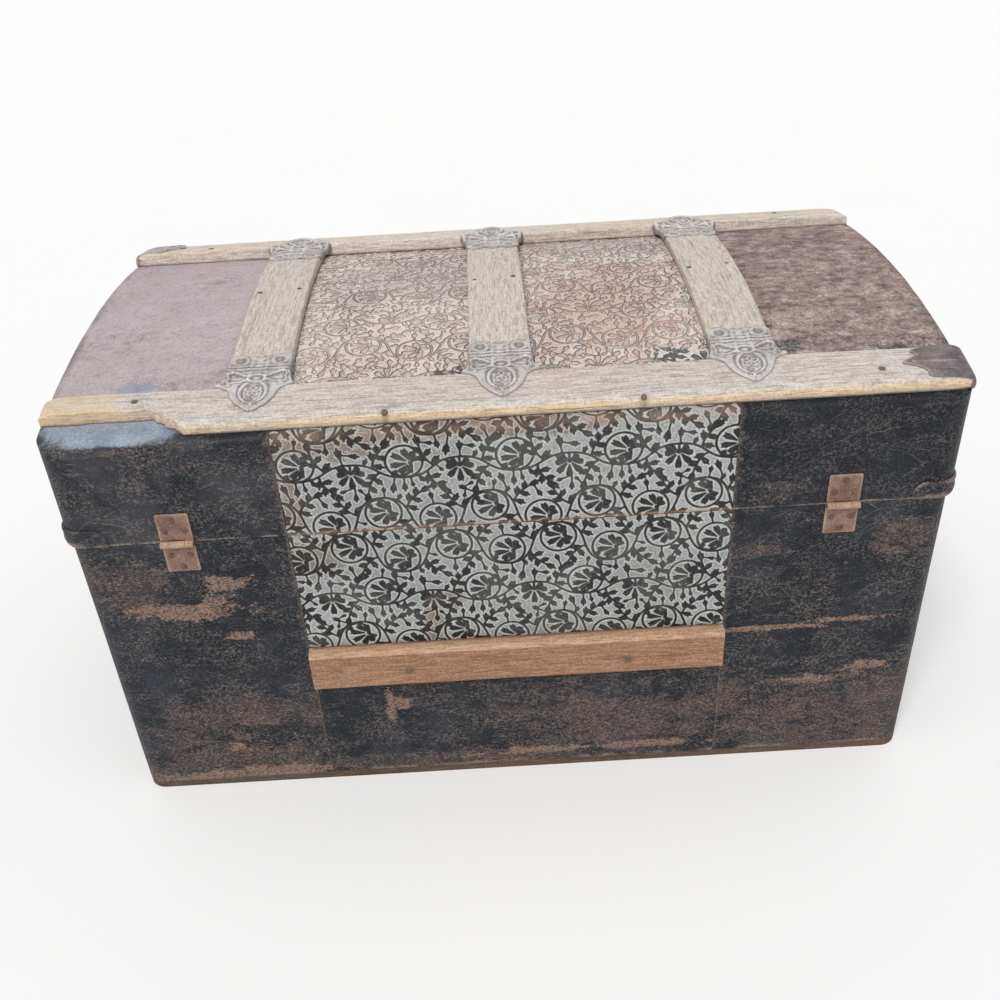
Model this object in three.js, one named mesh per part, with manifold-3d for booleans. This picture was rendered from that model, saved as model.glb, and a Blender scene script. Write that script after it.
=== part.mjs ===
// Low-domed travelling trunk: a boarded wooden box and lid, clad in sheet metal,
// with hardwood slats, stamped clasps, strap hinges, a hasp lock and leather end handles.
// Millimetres. +Z is up, +Y is the hinge side, X runs along the length.
// The origin is the centre of the bottom face.

import * as THREE from 'three';
import { mergeVertices } from 'three/addons/utils/BufferGeometryUtils.js';
import Module from 'manifold-3d';

const wasm = await Module();
wasm.setup();

// Carcass
const BODY_LENGTH = 864;
const TRUNK_DEPTH = 470;
const SEAM_HEIGHT = 345;
const CREASE_HEIGHT = 456;
const DOME_RISE = 26;
const LID_OVERHANG = 3;
const CORNER_RADIUS = 20;
const SHOULDER_BEND = 6;
const BASE_THICKNESS = 9;
const WALL_THICKNESS = 10;
const LID_BOARD_THICKNESS = 8;
const SHEET_THICKNESS = 1;

// Clearances
const FIT_GAP = 0.3;
const SEAM_GAP = 0.6;
const CUT_OVERRUN = 2;

// Sheet metal layout: how far the end sheets turn onto the long faces, and the wall sheets over the dome
const END_SHEET_LAP = 215;
const SHOULDER_LAP = 36;

// Slats on the lid
const SLAT_WIDTH = 50;
const SLAT_THICKNESS = 14;
const SLAT_EDGE_MARGIN = 10;
const SLAT_ROUNDING = 8;
const SLAT_INNER_ROUNDING = 2;
const CROSS_SLAT_WIDTH = 60;
const CROSS_SLAT_THICKNESS = 10;
const CROSS_SLAT_SETBACK = 198;

// The broken outer edge at one end of the rear slat
const BREAK_LENGTH = 107;
const BREAK_WIDTH = 24;
const BREAK_TAPER = 32;

// Slats on the body
const BODY_SLAT_HEIGHT = 50;
const BODY_SLAT_TOP = 200;
const BODY_SLAT_THICKNESS = 14;
const BODY_SLAT_ROUNDING = 5;

// Stamped clasps that hold the cross slats to the long slats
const CLASP_THICKNESS = 1.2;
const CLASP_HOLD = 56;
const CLASP_TONGUE = 38;
const CLASP_NECK_WIDTH = 62;
const CLASP_WING_WIDTH = 76;
const CLASP_TONGUE_WIDTH = 32;
const CLASP_SCALLOP = 4;
const CLASP_RAMP = 7;

// Stamped caps on two of the slat ends
const CAP_THICKNESS = 1.2;
const LEAF_CAP_LENGTH = 62;
const PLAIN_CAP_LENGTH = 48;

// Formed strip round each end of the lid, along the seam
const VALANCE_HEIGHT = 20;
const VALANCE_THICKNESS = 2.5;
const VALANCE_TAB = 44;
const VALANCE_TAB_ROUNDING = 8;

// Strap hinges
const HINGE_SETBACK = 108;
const HINGE_WIDTH = 32;
const HINGE_LEAF = 34;
const LEAF_THICKNESS = 1.6;
const KNUCKLE_RADIUS = 3.5;
const PIN_RADIUS = 1.6;
const PIN_CLEARANCE = 0.4;
const KNUCKLE_GAP = 0.4;

// Lock and hasp
const LOCK_WIDTH = 84;
const LOCK_HEIGHT = 66;
const LOCK_THICKNESS = 5;
const LOCK_DROP = 7;
const LOCK_ROUNDING = 12;
const KEYHOLE_RADIUS = 3;
const KEYHOLE_SLOT = 9;
const HASP_WIDTH = 44;
const HASP_LENGTH = 58;
const HASP_THICKNESS = 2.3;
const HASP_PLATE_HEIGHT = 32;
const HASP_RISE = 16;
const HASP_STUD_WIDTH = 14;
const HASP_STUD_HEIGHT = 12;
const HASP_STUD_DEPTH = 4;
const HASP_STUD_DROP = 38;
const LOCK_NOTCH_CLEARANCE = 2;

// Leather end handles
const HANDLE_HEIGHT = 232;
const HANDLE_SPAN = 176;
const HANDLE_BOW = 26;
const STRAP_WIDTH = 30;
const STRAP_THICKNESS = 5;
const HANDLE_CAP_WIDTH = 46;
const HANDLE_CAP_LENGTH = 38;
const HANDLE_CAP_THICKNESS = 2;
const HANDLE_CAP_WALL = 5;

// Facet counts
const CORNER_STEPS = 4;
const DOME_STEPS = 24;
const ROUND_STEPS = 16;
const ROUNDING_STEPS = 4;
const STRAP_STEPS = 24;

// Places worked out from the sizes above
const bodyHalf = BODY_LENGTH / 2;
const lidHalf = bodyHalf + LID_OVERHANG;
const halfDepth = TRUNK_DEPTH / 2;
const bodyTop = SEAM_HEIGHT - SEAM_GAP / 2;
const lidBottom = SEAM_HEIGHT + SEAM_GAP / 2;
const boardInset = SHEET_THICKNESS + FIT_GAP;
const wallInset = boardInset + WALL_THICKNESS;
const sheetFoot = BASE_THICKNESS + FIT_GAP;
const panelHalf = bodyHalf - END_SHEET_LAP;
const crossPitch = bodyHalf - CROSS_SLAT_SETBACK;
const hingeOffset = bodyHalf - HINGE_SETBACK;
const shoulderLine = halfDepth - SHOULDER_LAP;
const domeRadius = (halfDepth ** 2 + DOME_RISE ** 2) / (2 * DOME_RISE);
const domeCentre = CREASE_HEIGHT + DOME_RISE - domeRadius;
const domeTop = CREASE_HEIGHT + DOME_RISE;
const edgeRun = domeRadius * Math.asin(halfDepth / domeRadius);
const slatOuterRun = edgeRun - SLAT_EDGE_MARGIN;
const slatInnerRun = slatOuterRun - SLAT_WIDTH;
const faceLine = halfDepth + FIT_GAP;
const hingeLine = faceLine + KNUCKLE_RADIUS;
const haspLine = SEAM_HEIGHT + HASP_RISE;
const boreRadius = PIN_RADIUS + PIN_CLEARANCE;
const leafClear = KNUCKLE_RADIUS + KNUCKLE_GAP;
const haspFront = LOCK_THICKNESS + FIT_GAP + HASP_THICKNESS - KNUCKLE_RADIUS;
const haspSwing = Math.hypot(haspFront, KNUCKLE_RADIUS) + KNUCKLE_GAP;
const reach = BODY_LENGTH;

// Finishes
const FINISHES = {
  board: { color: 0x9a7b55, roughness: 0.85, metalness: 0 },
  slat: { color: 0xb39a78, roughness: 0.8, metalness: 0 },
  blackSheet: { color: 0x3a3838, roughness: 0.6, metalness: 0.3 },
  embossedSheet: { color: 0x8a8f8c, roughness: 0.55, metalness: 0.5 },
  rustySheet: { color: 0x846a66, roughness: 0.8, metalness: 0.3 },
  embossedTop: { color: 0xa08771, roughness: 0.75, metalness: 0.4 },
  clasp: { color: 0x6e665e, roughness: 0.6, metalness: 0.6 },
  hinge: { color: 0x9a6250, roughness: 0.8, metalness: 0.5 },
  lock: { color: 0x6b5c4c, roughness: 0.6, metalness: 0.6 },
  leather: { color: 0x4b3327, roughness: 0.85, metalness: 0 },
};

// Turns a closed three.js geometry into a solid that can be joined and cut
function toSolid(geometry) {
  geometry.deleteAttribute('normal');
  geometry.deleteAttribute('uv');
  const merged = mergeVertices(geometry);
  return new wasm.Manifold(new wasm.Mesh({
    numProp: 3,
    vertProperties: new Float32Array(merged.attributes.position.array),
    triVerts: new Uint32Array(merged.index.array),
  }));
}

function toGeometry(solid) {
  const mesh = solid.getMesh();
  const geometry = new THREE.BufferGeometry();
  geometry.setAttribute('position', new THREE.BufferAttribute(mesh.vertProperties, 3));
  geometry.setIndex(new THREE.BufferAttribute(mesh.triVerts, 1));
  geometry.computeVertexNormals();
  return geometry;
}

function extrudeShape(shape, length) {
  return new THREE.ExtrudeGeometry(shape, {
    depth: length,
    bevelEnabled: false,
    curveSegments: CORNER_STEPS,
  });
}

// A shape drawn in X and Y, raised along Z
function alongZ(shape, low, high) {
  const geometry = extrudeShape(shape, high - low);
  geometry.translate(0, 0, low);
  return toSolid(geometry);
}

// A shape drawn in Y and Z, run along X
function alongX(shape, low, high) {
  const geometry = extrudeShape(shape, high - low);
  const basis = new THREE.Matrix4().makeBasis(
    new THREE.Vector3(0, 1, 0),
    new THREE.Vector3(0, 0, 1),
    new THREE.Vector3(1, 0, 0),
  );
  geometry.applyMatrix4(basis);
  geometry.translate(low, 0, 0);
  return toSolid(geometry);
}

// A shape drawn in X and Z, run along Y
function alongY(shape, low, high) {
  const geometry = extrudeShape(shape, high - low);
  const basis = new THREE.Matrix4().makeBasis(
    new THREE.Vector3(1, 0, 0),
    new THREE.Vector3(0, 0, 1),
    new THREE.Vector3(0, -1, 0),
  );
  geometry.applyMatrix4(basis);
  geometry.translate(0, high, 0);
  return toSolid(geometry);
}

// Two limits in rising order
function span(one, other) {
  return [Math.min(one, other), Math.max(one, other)];
}

// A block between two limits on each axis; an axis left out is unlimited
function block({ x = [-reach, reach], y = [-reach, reach], z = [-reach, reach] }) {
  const geometry = new THREE.BoxGeometry(x[1] - x[0], y[1] - y[0], z[1] - z[0]);
  geometry.translate((x[0] + x[1]) / 2, (y[0] + y[1]) / 2, (z[0] + z[1]) / 2);
  return toSolid(geometry);
}

function roundedRectangle(lowX, highX, lowY, highY, radius) {
  const shape = new THREE.Shape();
  shape.moveTo(highX, lowY + radius);
  shape.lineTo(highX, highY - radius);
  shape.absarc(highX - radius, highY - radius, radius, 0, Math.PI / 2, false);
  shape.lineTo(lowX + radius, highY);
  shape.absarc(lowX + radius, highY - radius, radius, Math.PI / 2, Math.PI, false);
  shape.lineTo(lowX, lowY + radius);
  shape.absarc(lowX + radius, lowY + radius, radius, Math.PI, Math.PI * 1.5, false);
  shape.lineTo(highX - radius, lowY);
  shape.absarc(highX - radius, lowY + radius, radius, Math.PI * 1.5, Math.PI * 2, false);
  return shape;
}

function circlePoints(radius, centreX = 0, centreY = 0) {
  return Array.from({ length: ROUND_STEPS }, (_, step) => {
    const angle = (step / ROUND_STEPS) * Math.PI * 2;
    return new THREE.Vector2(
      centreX + radius * Math.cos(angle),
      centreY + radius * Math.sin(angle),
    );
  });
}

// The plan of the body or lid, drawn in by an inset, between two heights
function planPrism(halfLength, inset, low, high) {
  const radius = Math.max(CORNER_RADIUS - inset, FIT_GAP);
  const halfX = halfLength - inset;
  const halfY = halfDepth - inset;
  return alongZ(roundedRectangle(-halfX, halfX, -halfY, halfY, radius), low, high);
}

// A wall of the plan between two insets
function planRing(halfLength, outerInset, innerInset, low, high) {
  const outer = planPrism(halfLength, outerInset, low, high);
  const inner = planPrism(halfLength, innerInset, low - CUT_OVERRUN, high + CUT_OVERRUN);
  return outer.subtract(inner);
}

// The cross-section under the dome, lowered by a drop, with rounded shoulders
function domeShape(halfWidth, drop, low, bend) {
  const radius = domeRadius - drop;
  const heightAt = (y) => domeCentre + Math.sqrt(radius ** 2 - y ** 2);
  const flat = halfWidth - bend;
  const corner = heightAt(halfWidth);
  const shape = new THREE.Shape();
  shape.moveTo(-halfWidth, low);
  shape.lineTo(halfWidth, low);
  shape.lineTo(halfWidth, corner - bend);
  shape.quadraticCurveTo(halfWidth, corner, flat, heightAt(flat));
  for (let step = 1; step <= DOME_STEPS; step += 1) {
    const y = flat - (step / DOME_STEPS) * 2 * flat;
    shape.lineTo(y, heightAt(y));
  }
  shape.quadraticCurveTo(-halfWidth, corner, -halfWidth, corner - bend);
  return shape;
}

// Everything inside the skin of the dome, drawn in by an inset
function underSkin(inset, low) {
  const bend = Math.max(SHOULDER_BEND - inset, FIT_GAP);
  return alongX(domeShape(halfDepth - inset, inset, low, bend), -reach, reach);
}

// Everything under the dome's arc alone, without its shoulders
function underArc(drop, low) {
  return alongX(domeShape(halfDepth, drop, low, FIT_GAP), -reach, reach);
}

// The place of a point on the lid: its run along the arc from the crown and its height above the skin
function domePoint([run, height]) {
  const angle = run / domeRadius;
  const radius = domeRadius + height;
  return new THREE.Vector2(radius * Math.sin(angle), domeCentre + radius * Math.cos(angle));
}

// An outline in runs and heights, bent over the dome
function domeOutline(corners, side = 1) {
  const stepRun = (2 * edgeRun) / DOME_STEPS;
  const points = [];
  corners.forEach((corner, index) => {
    const next = corners[(index + 1) % corners.length];
    const count = Math.max(1, Math.ceil(Math.abs(next[0] - corner[0]) / stepRun));
    for (let step = 0; step < count; step += 1) {
      const share = step / count;
      points.push(domePoint([
        side * (corner[0] + (next[0] - corner[0]) * share),
        corner[1] + (next[1] - corner[1]) * share,
      ]));
    }
  });
  return new THREE.Shape(points);
}

// Corner points of a quarter round, from its start angle
function quarterRound(centreRun, centreHeight, radius, start) {
  return Array.from({ length: ROUNDING_STEPS + 1 }, (_, step) => {
    const angle = start + (step / ROUNDING_STEPS) * (Math.PI / 2);
    return [centreRun + radius * Math.cos(angle), centreHeight + radius * Math.sin(angle)];
  });
}

function knuckle(low, high, axisY, axisZ) {
  const shape = new THREE.Shape(circlePoints(KNUCKLE_RADIUS, axisY, axisZ));
  shape.holes.push(new THREE.Path(circlePoints(boreRadius, axisY, axisZ)));
  return alongX(shape, low, high);
}

function pin(low, high, axisY, axisZ) {
  return alongX(new THREE.Shape(circlePoints(PIN_RADIUS, axisY, axisZ)), low, high);
}

const trunk = new THREE.Group();
const body = new THREE.Group();
const lid = new THREE.Group();
const hasp = new THREE.Group();
trunk.add(body, lid, hasp);

function add(group, name, solid, finish) {
  const mesh = new THREE.Mesh(toGeometry(solid), new THREE.MeshStandardMaterial(FINISHES[finish]));
  mesh.name = name;
  group.add(mesh);
}

const SIDES = [['left', 1], ['right', -1]];
const FACES = [['back', 1], ['front', -1]];

// A wall of boards: rounded outside to follow the corners, square inside
function boardRing(halfLength, low, high) {
  const innerX = halfLength - wallInset;
  const innerY = halfDepth - wallInset;
  return planPrism(halfLength, boardInset, low, high)
    .subtract(block({ x: [-innerX, innerX], y: [-innerY, innerY] }));
}

// The four wall boards of the body or lid: two long ones with rounded ends, two between them
function addWallBoards(group, prefix, ring) {
  const innerY = halfDepth - wallInset;
  for (const [face, side] of FACES) {
    const limits = span(side * innerY, side * reach);
    add(group, `${prefix}_${face}_board`, ring.intersect(block({ y: limits })), 'board');
  }
  for (const [end, side] of SIDES) {
    const limits = span(0, side * reach);
    const between = [FIT_GAP - innerY, innerY - FIT_GAP];
    add(group, `${prefix}_${end}_board`, ring.intersect(block({ x: limits, y: between })), 'board');
  }
}

function addBodyBoards() {
  add(body, 'bottom_board', planPrism(bodyHalf, 0, 0, BASE_THICKNESS), 'board');
  addWallBoards(body, 'body', boardRing(bodyHalf, sheetFoot, bodyTop));
}

// End sheets that wrap the corners, and panels between them on the front and back
function addBodySheets() {
  const ring = planRing(bodyHalf, 0, SHEET_THICKNESS, sheetFoot, bodyTop);
  const seamLine = panelHalf + FIT_GAP / 2;
  const panelEdge = panelHalf - FIT_GAP / 2;
  const joint = BODY_SLAT_TOP - BODY_SLAT_HEIGHT / 2;
  for (const [end, side] of SIDES) {
    const limits = span(side * seamLine, side * reach);
    add(body, `body_end_sheet_${end}`, ring.intersect(block({ x: limits })), 'blackSheet');
  }
  for (const [face, side] of FACES) {
    const y = span(0, side * reach);
    const x = [-panelEdge, panelEdge];
    const upper = block({ x, y, z: [joint + FIT_GAP / 2, reach] });
    const lower = block({ x, y, z: [-reach, joint - FIT_GAP / 2] });
    add(body, `body_${face}_panel_upper`, ring.intersect(upper), 'embossedSheet');
    add(body, `body_${face}_panel_lower`, ring.intersect(lower), 'blackSheet');
  }
}

function addBodySlats() {
  const low = BODY_SLAT_TOP - BODY_SLAT_HEIGHT;
  for (const [face, side] of FACES) {
    const inner = faceLine;
    const outer = faceLine + BODY_SLAT_THICKNESS;
    const shape = new THREE.Shape();
    shape.moveTo(side * inner, low);
    shape.lineTo(side * (outer - BODY_SLAT_ROUNDING), low);
    shape.quadraticCurveTo(side * outer, low, side * outer, low + BODY_SLAT_ROUNDING);
    shape.lineTo(side * outer, BODY_SLAT_TOP - BODY_SLAT_ROUNDING);
    shape.quadraticCurveTo(side * outer, BODY_SLAT_TOP, side * (outer - BODY_SLAT_ROUNDING), BODY_SLAT_TOP);
    shape.lineTo(side * inner, BODY_SLAT_TOP);
    add(body, `body_slat_${face}`, alongX(shape, -panelHalf, panelHalf), 'slat');
  }
}

// The lid's wall boards stand under three boards that make the dome
function addLidBoards() {
  const wallTop = underArc(boardInset + LID_BOARD_THICKNESS + FIT_GAP, 0);
  addWallBoards(lid, 'lid', boardRing(lidHalf, lidBottom, domeTop).intersect(wallTop));
  const top = underArc(boardInset, 0)
    .intersect(underSkin(boardInset, 0))
    .intersect(planPrism(lidHalf, boardInset, 0, domeTop))
    .subtract(underArc(boardInset + LID_BOARD_THICKNESS, -CUT_OVERRUN));
  const third = TRUNK_DEPTH / 3;
  ['front', 'middle', 'back'].forEach((place, index) => {
    const low = index === 0 ? -reach : -halfDepth + index * third + FIT_GAP / 2;
    const high = index === 2 ? reach : -halfDepth + (index + 1) * third - FIT_GAP / 2;
    add(lid, `lid_top_board_${place}`, top.intersect(block({ y: [low, high] })), 'board');
  });
}

// Wall sheets of the lid turn over the shoulders; the dome sheets lie between them
function addLidSheets() {
  const outer = planPrism(lidHalf, 0, lidBottom, domeTop).intersect(underSkin(0, 0));
  const inner = planPrism(lidHalf, SHEET_THICKNESS, 0, domeTop)
    .intersect(underSkin(SHEET_THICKNESS, -CUT_OVERRUN));
  const crown = block({ y: [-shoulderLine - FIT_GAP / 2, shoulderLine + FIT_GAP / 2] })
    .subtract(underArc(boardInset, -reach));
  const walls = outer.subtract(inner).subtract(crown);
  const seamLine = panelHalf + FIT_GAP / 2;
  const panelEdge = panelHalf - FIT_GAP / 2;
  for (const [end, side] of SIDES) {
    const limits = span(side * seamLine, side * reach);
    add(lid, `lid_end_sheet_${end}`, walls.intersect(block({ x: limits })), 'blackSheet');
  }
  for (const [face, side] of FACES) {
    const y = span(0, side * reach);
    const panel = walls.intersect(block({ x: [-panelEdge, panelEdge], y }));
    add(lid, `lid_${face}_panel`, panel, 'embossedSheet');
  }
  const skin = outer
    .intersect(block({ y: [FIT_GAP / 2 - shoulderLine, shoulderLine - FIT_GAP / 2] }))
    .subtract(underArc(SHEET_THICKNESS, -CUT_OVERRUN));
  const edge = crossPitch - FIT_GAP / 2;
  const centre = block({ x: [-edge, edge] });
  add(lid, 'lid_top_sheet_centre', skin.intersect(centre), 'embossedTop');
  for (const [end, side] of SIDES) {
    const limits = span(side * (crossPitch + FIT_GAP / 2), side * reach);
    add(lid, `lid_top_sheet_${end}`, skin.intersect(block({ x: limits })), 'rustySheet');
  }
}

// Section of a long slat, grown on its top and sides by an allowance
function slatSection(grow, floor, side) {
  const inner = slatInnerRun - grow;
  const outer = slatOuterRun + grow;
  const top = FIT_GAP + SLAT_THICKNESS + grow;
  const outerRound = SLAT_ROUNDING + grow;
  const innerRound = SLAT_INNER_ROUNDING + grow;
  return domeOutline([
    [inner, floor],
    [outer, floor],
    ...quarterRound(outer - outerRound, top - outerRound, outerRound, 0),
    ...quarterRound(inner + innerRound, top - innerRound, innerRound, Math.PI / 2),
  ], side);
}

// The wood that has split off the outer edge, from the end of the slat to a jagged step
function brokenEdge() {
  const outerY = domePoint([slatOuterRun, 0]).x + CUT_OVERRUN;
  const innerY = domePoint([slatOuterRun - BREAK_WIDTH, 0]).x;
  const end = lidHalf + CUT_OVERRUN;
  const step = lidHalf - BREAK_LENGTH;
  const widthAt = (share) => innerY + (outerY - innerY) * share;
  const jagShares = [[0, 0], [0.12, 0.22], [0.38, 0.3], [0.42, 0.5], [0.7, 0.62], [1, 1]];
  const shape = new THREE.Shape();
  shape.moveTo(end, innerY);
  for (const [runShare, widthShare] of jagShares) {
    shape.lineTo(step - BREAK_TAPER * runShare, widthAt(widthShare));
  }
  shape.lineTo(end, outerY);
  return alongZ(shape, 0, reach);
}

function addLidSlats() {
  const rear = alongX(slatSection(0, FIT_GAP, 1), -lidHalf, lidHalf);
  add(lid, 'lid_slat_back', rear.subtract(brokenEdge()), 'slat');
  add(lid, 'lid_slat_front', alongX(slatSection(0, FIT_GAP, -1), -lidHalf, lidHalf), 'slat');
  const end = slatInnerRun - FIT_GAP;
  const top = FIT_GAP + CROSS_SLAT_THICKNESS;
  const section = domeOutline([[-end, FIT_GAP], [end, FIT_GAP], [end, top], [-end, top]]);
  [['left', 1], ['middle', 0], ['right', -1]].forEach(([place, share]) => {
    const middle = share * crossPitch;
    const half = CROSS_SLAT_WIDTH / 2;
    add(lid, `lid_cross_slat_${place}`, alongX(section, middle - half, middle + half), 'slat');
  });
}

// Plan outline of a clasp: scalloped head, flared wings and a round-ended tongue
function claspOutline(side) {
  const yAt = (run) => side * domePoint([run, 0]).x;
  const head = slatInnerRun - CLASP_HOLD;
  const tip = slatInnerRun + CLASP_TONGUE;
  const neck = CLASP_NECK_WIDTH / 2;
  const wing = CLASP_WING_WIDTH / 2;
  const tongue = CLASP_TONGUE_WIDTH / 2;
  const wingRun = slatInnerRun + CLASP_TONGUE / 5;
  const rootRun = slatInnerRun + CLASP_TONGUE / 2;
  const scallops = 3;
  const shape = new THREE.Shape();
  shape.moveTo(neck, yAt(slatInnerRun - CLASP_HOLD / 3));
  shape.lineTo(neck, yAt(head + CLASP_SCALLOP));
  for (let index = 0; index < scallops; index += 1) {
    const start = neck - (2 * neck * index) / scallops;
    const finish = neck - (2 * neck * (index + 1)) / scallops;
    shape.quadraticCurveTo(
      (start + finish) / 2,
      yAt(head - CLASP_SCALLOP),
      finish,
      yAt(head + CLASP_SCALLOP),
    );
  }
  shape.lineTo(-neck, yAt(slatInnerRun - CLASP_HOLD / 3));
  shape.quadraticCurveTo(-neck, yAt(slatInnerRun), -wing, yAt(wingRun));
  shape.quadraticCurveTo(-tongue, yAt(wingRun), -tongue, yAt(rootRun));
  shape.lineTo(-tongue, yAt(tip - tongue / 2));
  shape.quadraticCurveTo(-tongue, yAt(tip), 0, yAt(tip));
  shape.quadraticCurveTo(tongue, yAt(tip), tongue, yAt(tip - tongue / 2));
  shape.lineTo(tongue, yAt(rootRun));
  shape.quadraticCurveTo(tongue, yAt(wingRun), wing, yAt(wingRun));
  shape.quadraticCurveTo(neck, yAt(slatInnerRun), neck, yAt(slatInnerRun - CLASP_HOLD / 3));
  return shape;
}

function addClasps() {
  const low = FIT_GAP + CROSS_SLAT_THICKNESS + FIT_GAP;
  const high = FIT_GAP + SLAT_THICKNESS + FIT_GAP;
  const head = slatInnerRun - CLASP_HOLD - CLASP_SCALLOP - CUT_OVERRUN;
  const tip = slatInnerRun + CLASP_TONGUE + CUT_OVERRUN;
  const rampStart = slatInnerRun - CLASP_RAMP;
  const rampEnd = slatInnerRun - FIT_GAP;
  for (const [face, side] of FACES) {
    const band = domeOutline([
      [head, low],
      [rampStart, low],
      [rampEnd, high],
      [tip, high],
      [tip, high + CLASP_THICKNESS],
      [rampEnd - CLASP_THICKNESS / 2, high + CLASP_THICKNESS],
      [rampStart - CLASP_THICKNESS / 2, low + CLASP_THICKNESS],
      [head, low + CLASP_THICKNESS],
    ], side);
    const plate = alongX(band, -CLASP_WING_WIDTH, CLASP_WING_WIDTH)
      .intersect(alongZ(claspOutline(side), 0, reach));
    [['left', 1], ['middle', 0], ['right', -1]].forEach(([place, share]) => {
      const moved = plate.translate([share * crossPitch, 0, 0]);
      add(lid, `clasp_${face}_${place}`, moved, 'clasp');
    });
  }
}

// A thin cap folded over the end of a long slat
function slatCap(length, side) {
  const floor = FIT_GAP;
  const reachOut = FIT_GAP + CAP_THICKNESS;
  const outer = alongX(slatSection(reachOut, floor, side), lidHalf - length, lidHalf + reachOut);
  const inner = alongX(
    slatSection(FIT_GAP, floor - CUT_OVERRUN, side),
    lidHalf - length - CUT_OVERRUN,
    lidHalf + FIT_GAP,
  );
  return outer.subtract(inner);
}

// The pointed, lobed plan of the leaf cap, measured back from the end of the slat
function leafPlan() {
  const innerY = domePoint([slatInnerRun, 0]).x - CUT_OVERRUN;
  const outerY = domePoint([slatOuterRun, 0]).x + CUT_OVERRUN + CAP_THICKNESS;
  const at = (share) => innerY + (outerY - innerY) * share;
  const leafShares = [
    [0.62, 0.02], [0.7, 0.18], [0.86, 0.26], [0.86, 0.4], [1, 0.56],
    [0.78, 0.7], [0.72, 0.86], [0.5, 0.98],
  ];
  const shape = new THREE.Shape();
  shape.moveTo(lidHalf + CUT_OVERRUN + CAP_THICKNESS, at(0));
  for (const [lengthShare, widthShare] of leafShares) {
    shape.lineTo(lidHalf - LEAF_CAP_LENGTH * lengthShare, at(widthShare));
  }
  shape.lineTo(lidHalf - LEAF_CAP_LENGTH / 2, at(1));
  shape.lineTo(lidHalf + CUT_OVERRUN + CAP_THICKNESS, at(1));
  return alongZ(shape, 0, reach);
}

function addSlatCaps() {
  const leaf = slatCap(LEAF_CAP_LENGTH, 1).intersect(leafPlan());
  add(lid, 'slat_cap_back_right', leaf.mirror([1, 0, 0]), 'clasp');
  add(lid, 'slat_cap_front_left', slatCap(PLAIN_CAP_LENGTH, -1), 'clasp');
}

// Strips round the lid's ends, each with a short round-topped tab on the front and back
function addValances() {
  const top = lidBottom + VALANCE_HEIGHT;
  const ring = planRing(lidHalf, -FIT_GAP - VALANCE_THICKNESS, -FIT_GAP, lidBottom, top);
  const inner = lidHalf - VALANCE_TAB;
  const shape = new THREE.Shape();
  shape.moveTo(inner, lidBottom - CUT_OVERRUN);
  shape.lineTo(reach, lidBottom - CUT_OVERRUN);
  shape.lineTo(reach, top + CUT_OVERRUN);
  shape.lineTo(inner + VALANCE_TAB_ROUNDING, top + CUT_OVERRUN);
  shape.lineTo(inner + VALANCE_TAB_ROUNDING, top);
  shape.quadraticCurveTo(inner + VALANCE_TAB_ROUNDING / 4, top, inner, lidBottom);
  const strip = ring.intersect(alongY(shape, -reach, reach));
  add(lid, 'lid_valance_left', strip, 'blackSheet');
  add(lid, 'lid_valance_right', strip.mirror([1, 0, 0]), 'blackSheet');
}

// A leaf with its rolled knuckles on the back or front face; shares of the width say
// which stretches carry a knuckle, and clear is the distance from the pin to the leaf
function strapLeaf({ middle = 0, width, length, side = 1, axisZ, up = 1, clear = leafClear, knuckles }) {
  const low = middle - width / 2;
  const axisY = side * hingeLine;
  const start = axisZ + up * clear;
  const finish = axisZ + up * length;
  const y = span(side * faceLine, side * (faceLine + LEAF_THICKNESS));
  const z = span(start, finish);
  let leaf = block({ x: [low, low + width], y, z });
  for (const [fromShare, toShare] of knuckles) {
    const from = low + width * fromShare + (fromShare > 0 ? KNUCKLE_GAP / 2 : 0);
    const to = low + width * toShare - (toShare < 1 ? KNUCKLE_GAP / 2 : 0);
    const webZ = span(axisZ + up * boreRadius, start + up * KNUCKLE_GAP);
    leaf = leaf
      .add(knuckle(from, to, axisY, axisZ))
      .add(block({ x: [from, to], y, z: webZ }));
  }
  return leaf;
}

function addHinges() {
  for (const [end, side] of SIDES) {
    const middle = side * hingeOffset;
    const half = HINGE_WIDTH / 2;
    const size = { middle, width: HINGE_WIDTH, length: HINGE_LEAF, axisZ: SEAM_HEIGHT };
    const upper = strapLeaf({ ...size, knuckles: [[0, 1 / 4], [3 / 4, 1]] });
    const lower = strapLeaf({ ...size, up: -1, knuckles: [[1 / 4, 3 / 4]] });
    add(lid, `hinge_lid_leaf_${end}`, upper, 'hinge');
    add(body, `hinge_body_leaf_${end}`, lower, 'hinge');
    add(body, `hinge_pin_${end}`, pin(middle - half, middle + half, hingeLine, SEAM_HEIGHT), 'hinge');
  }
}

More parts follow.
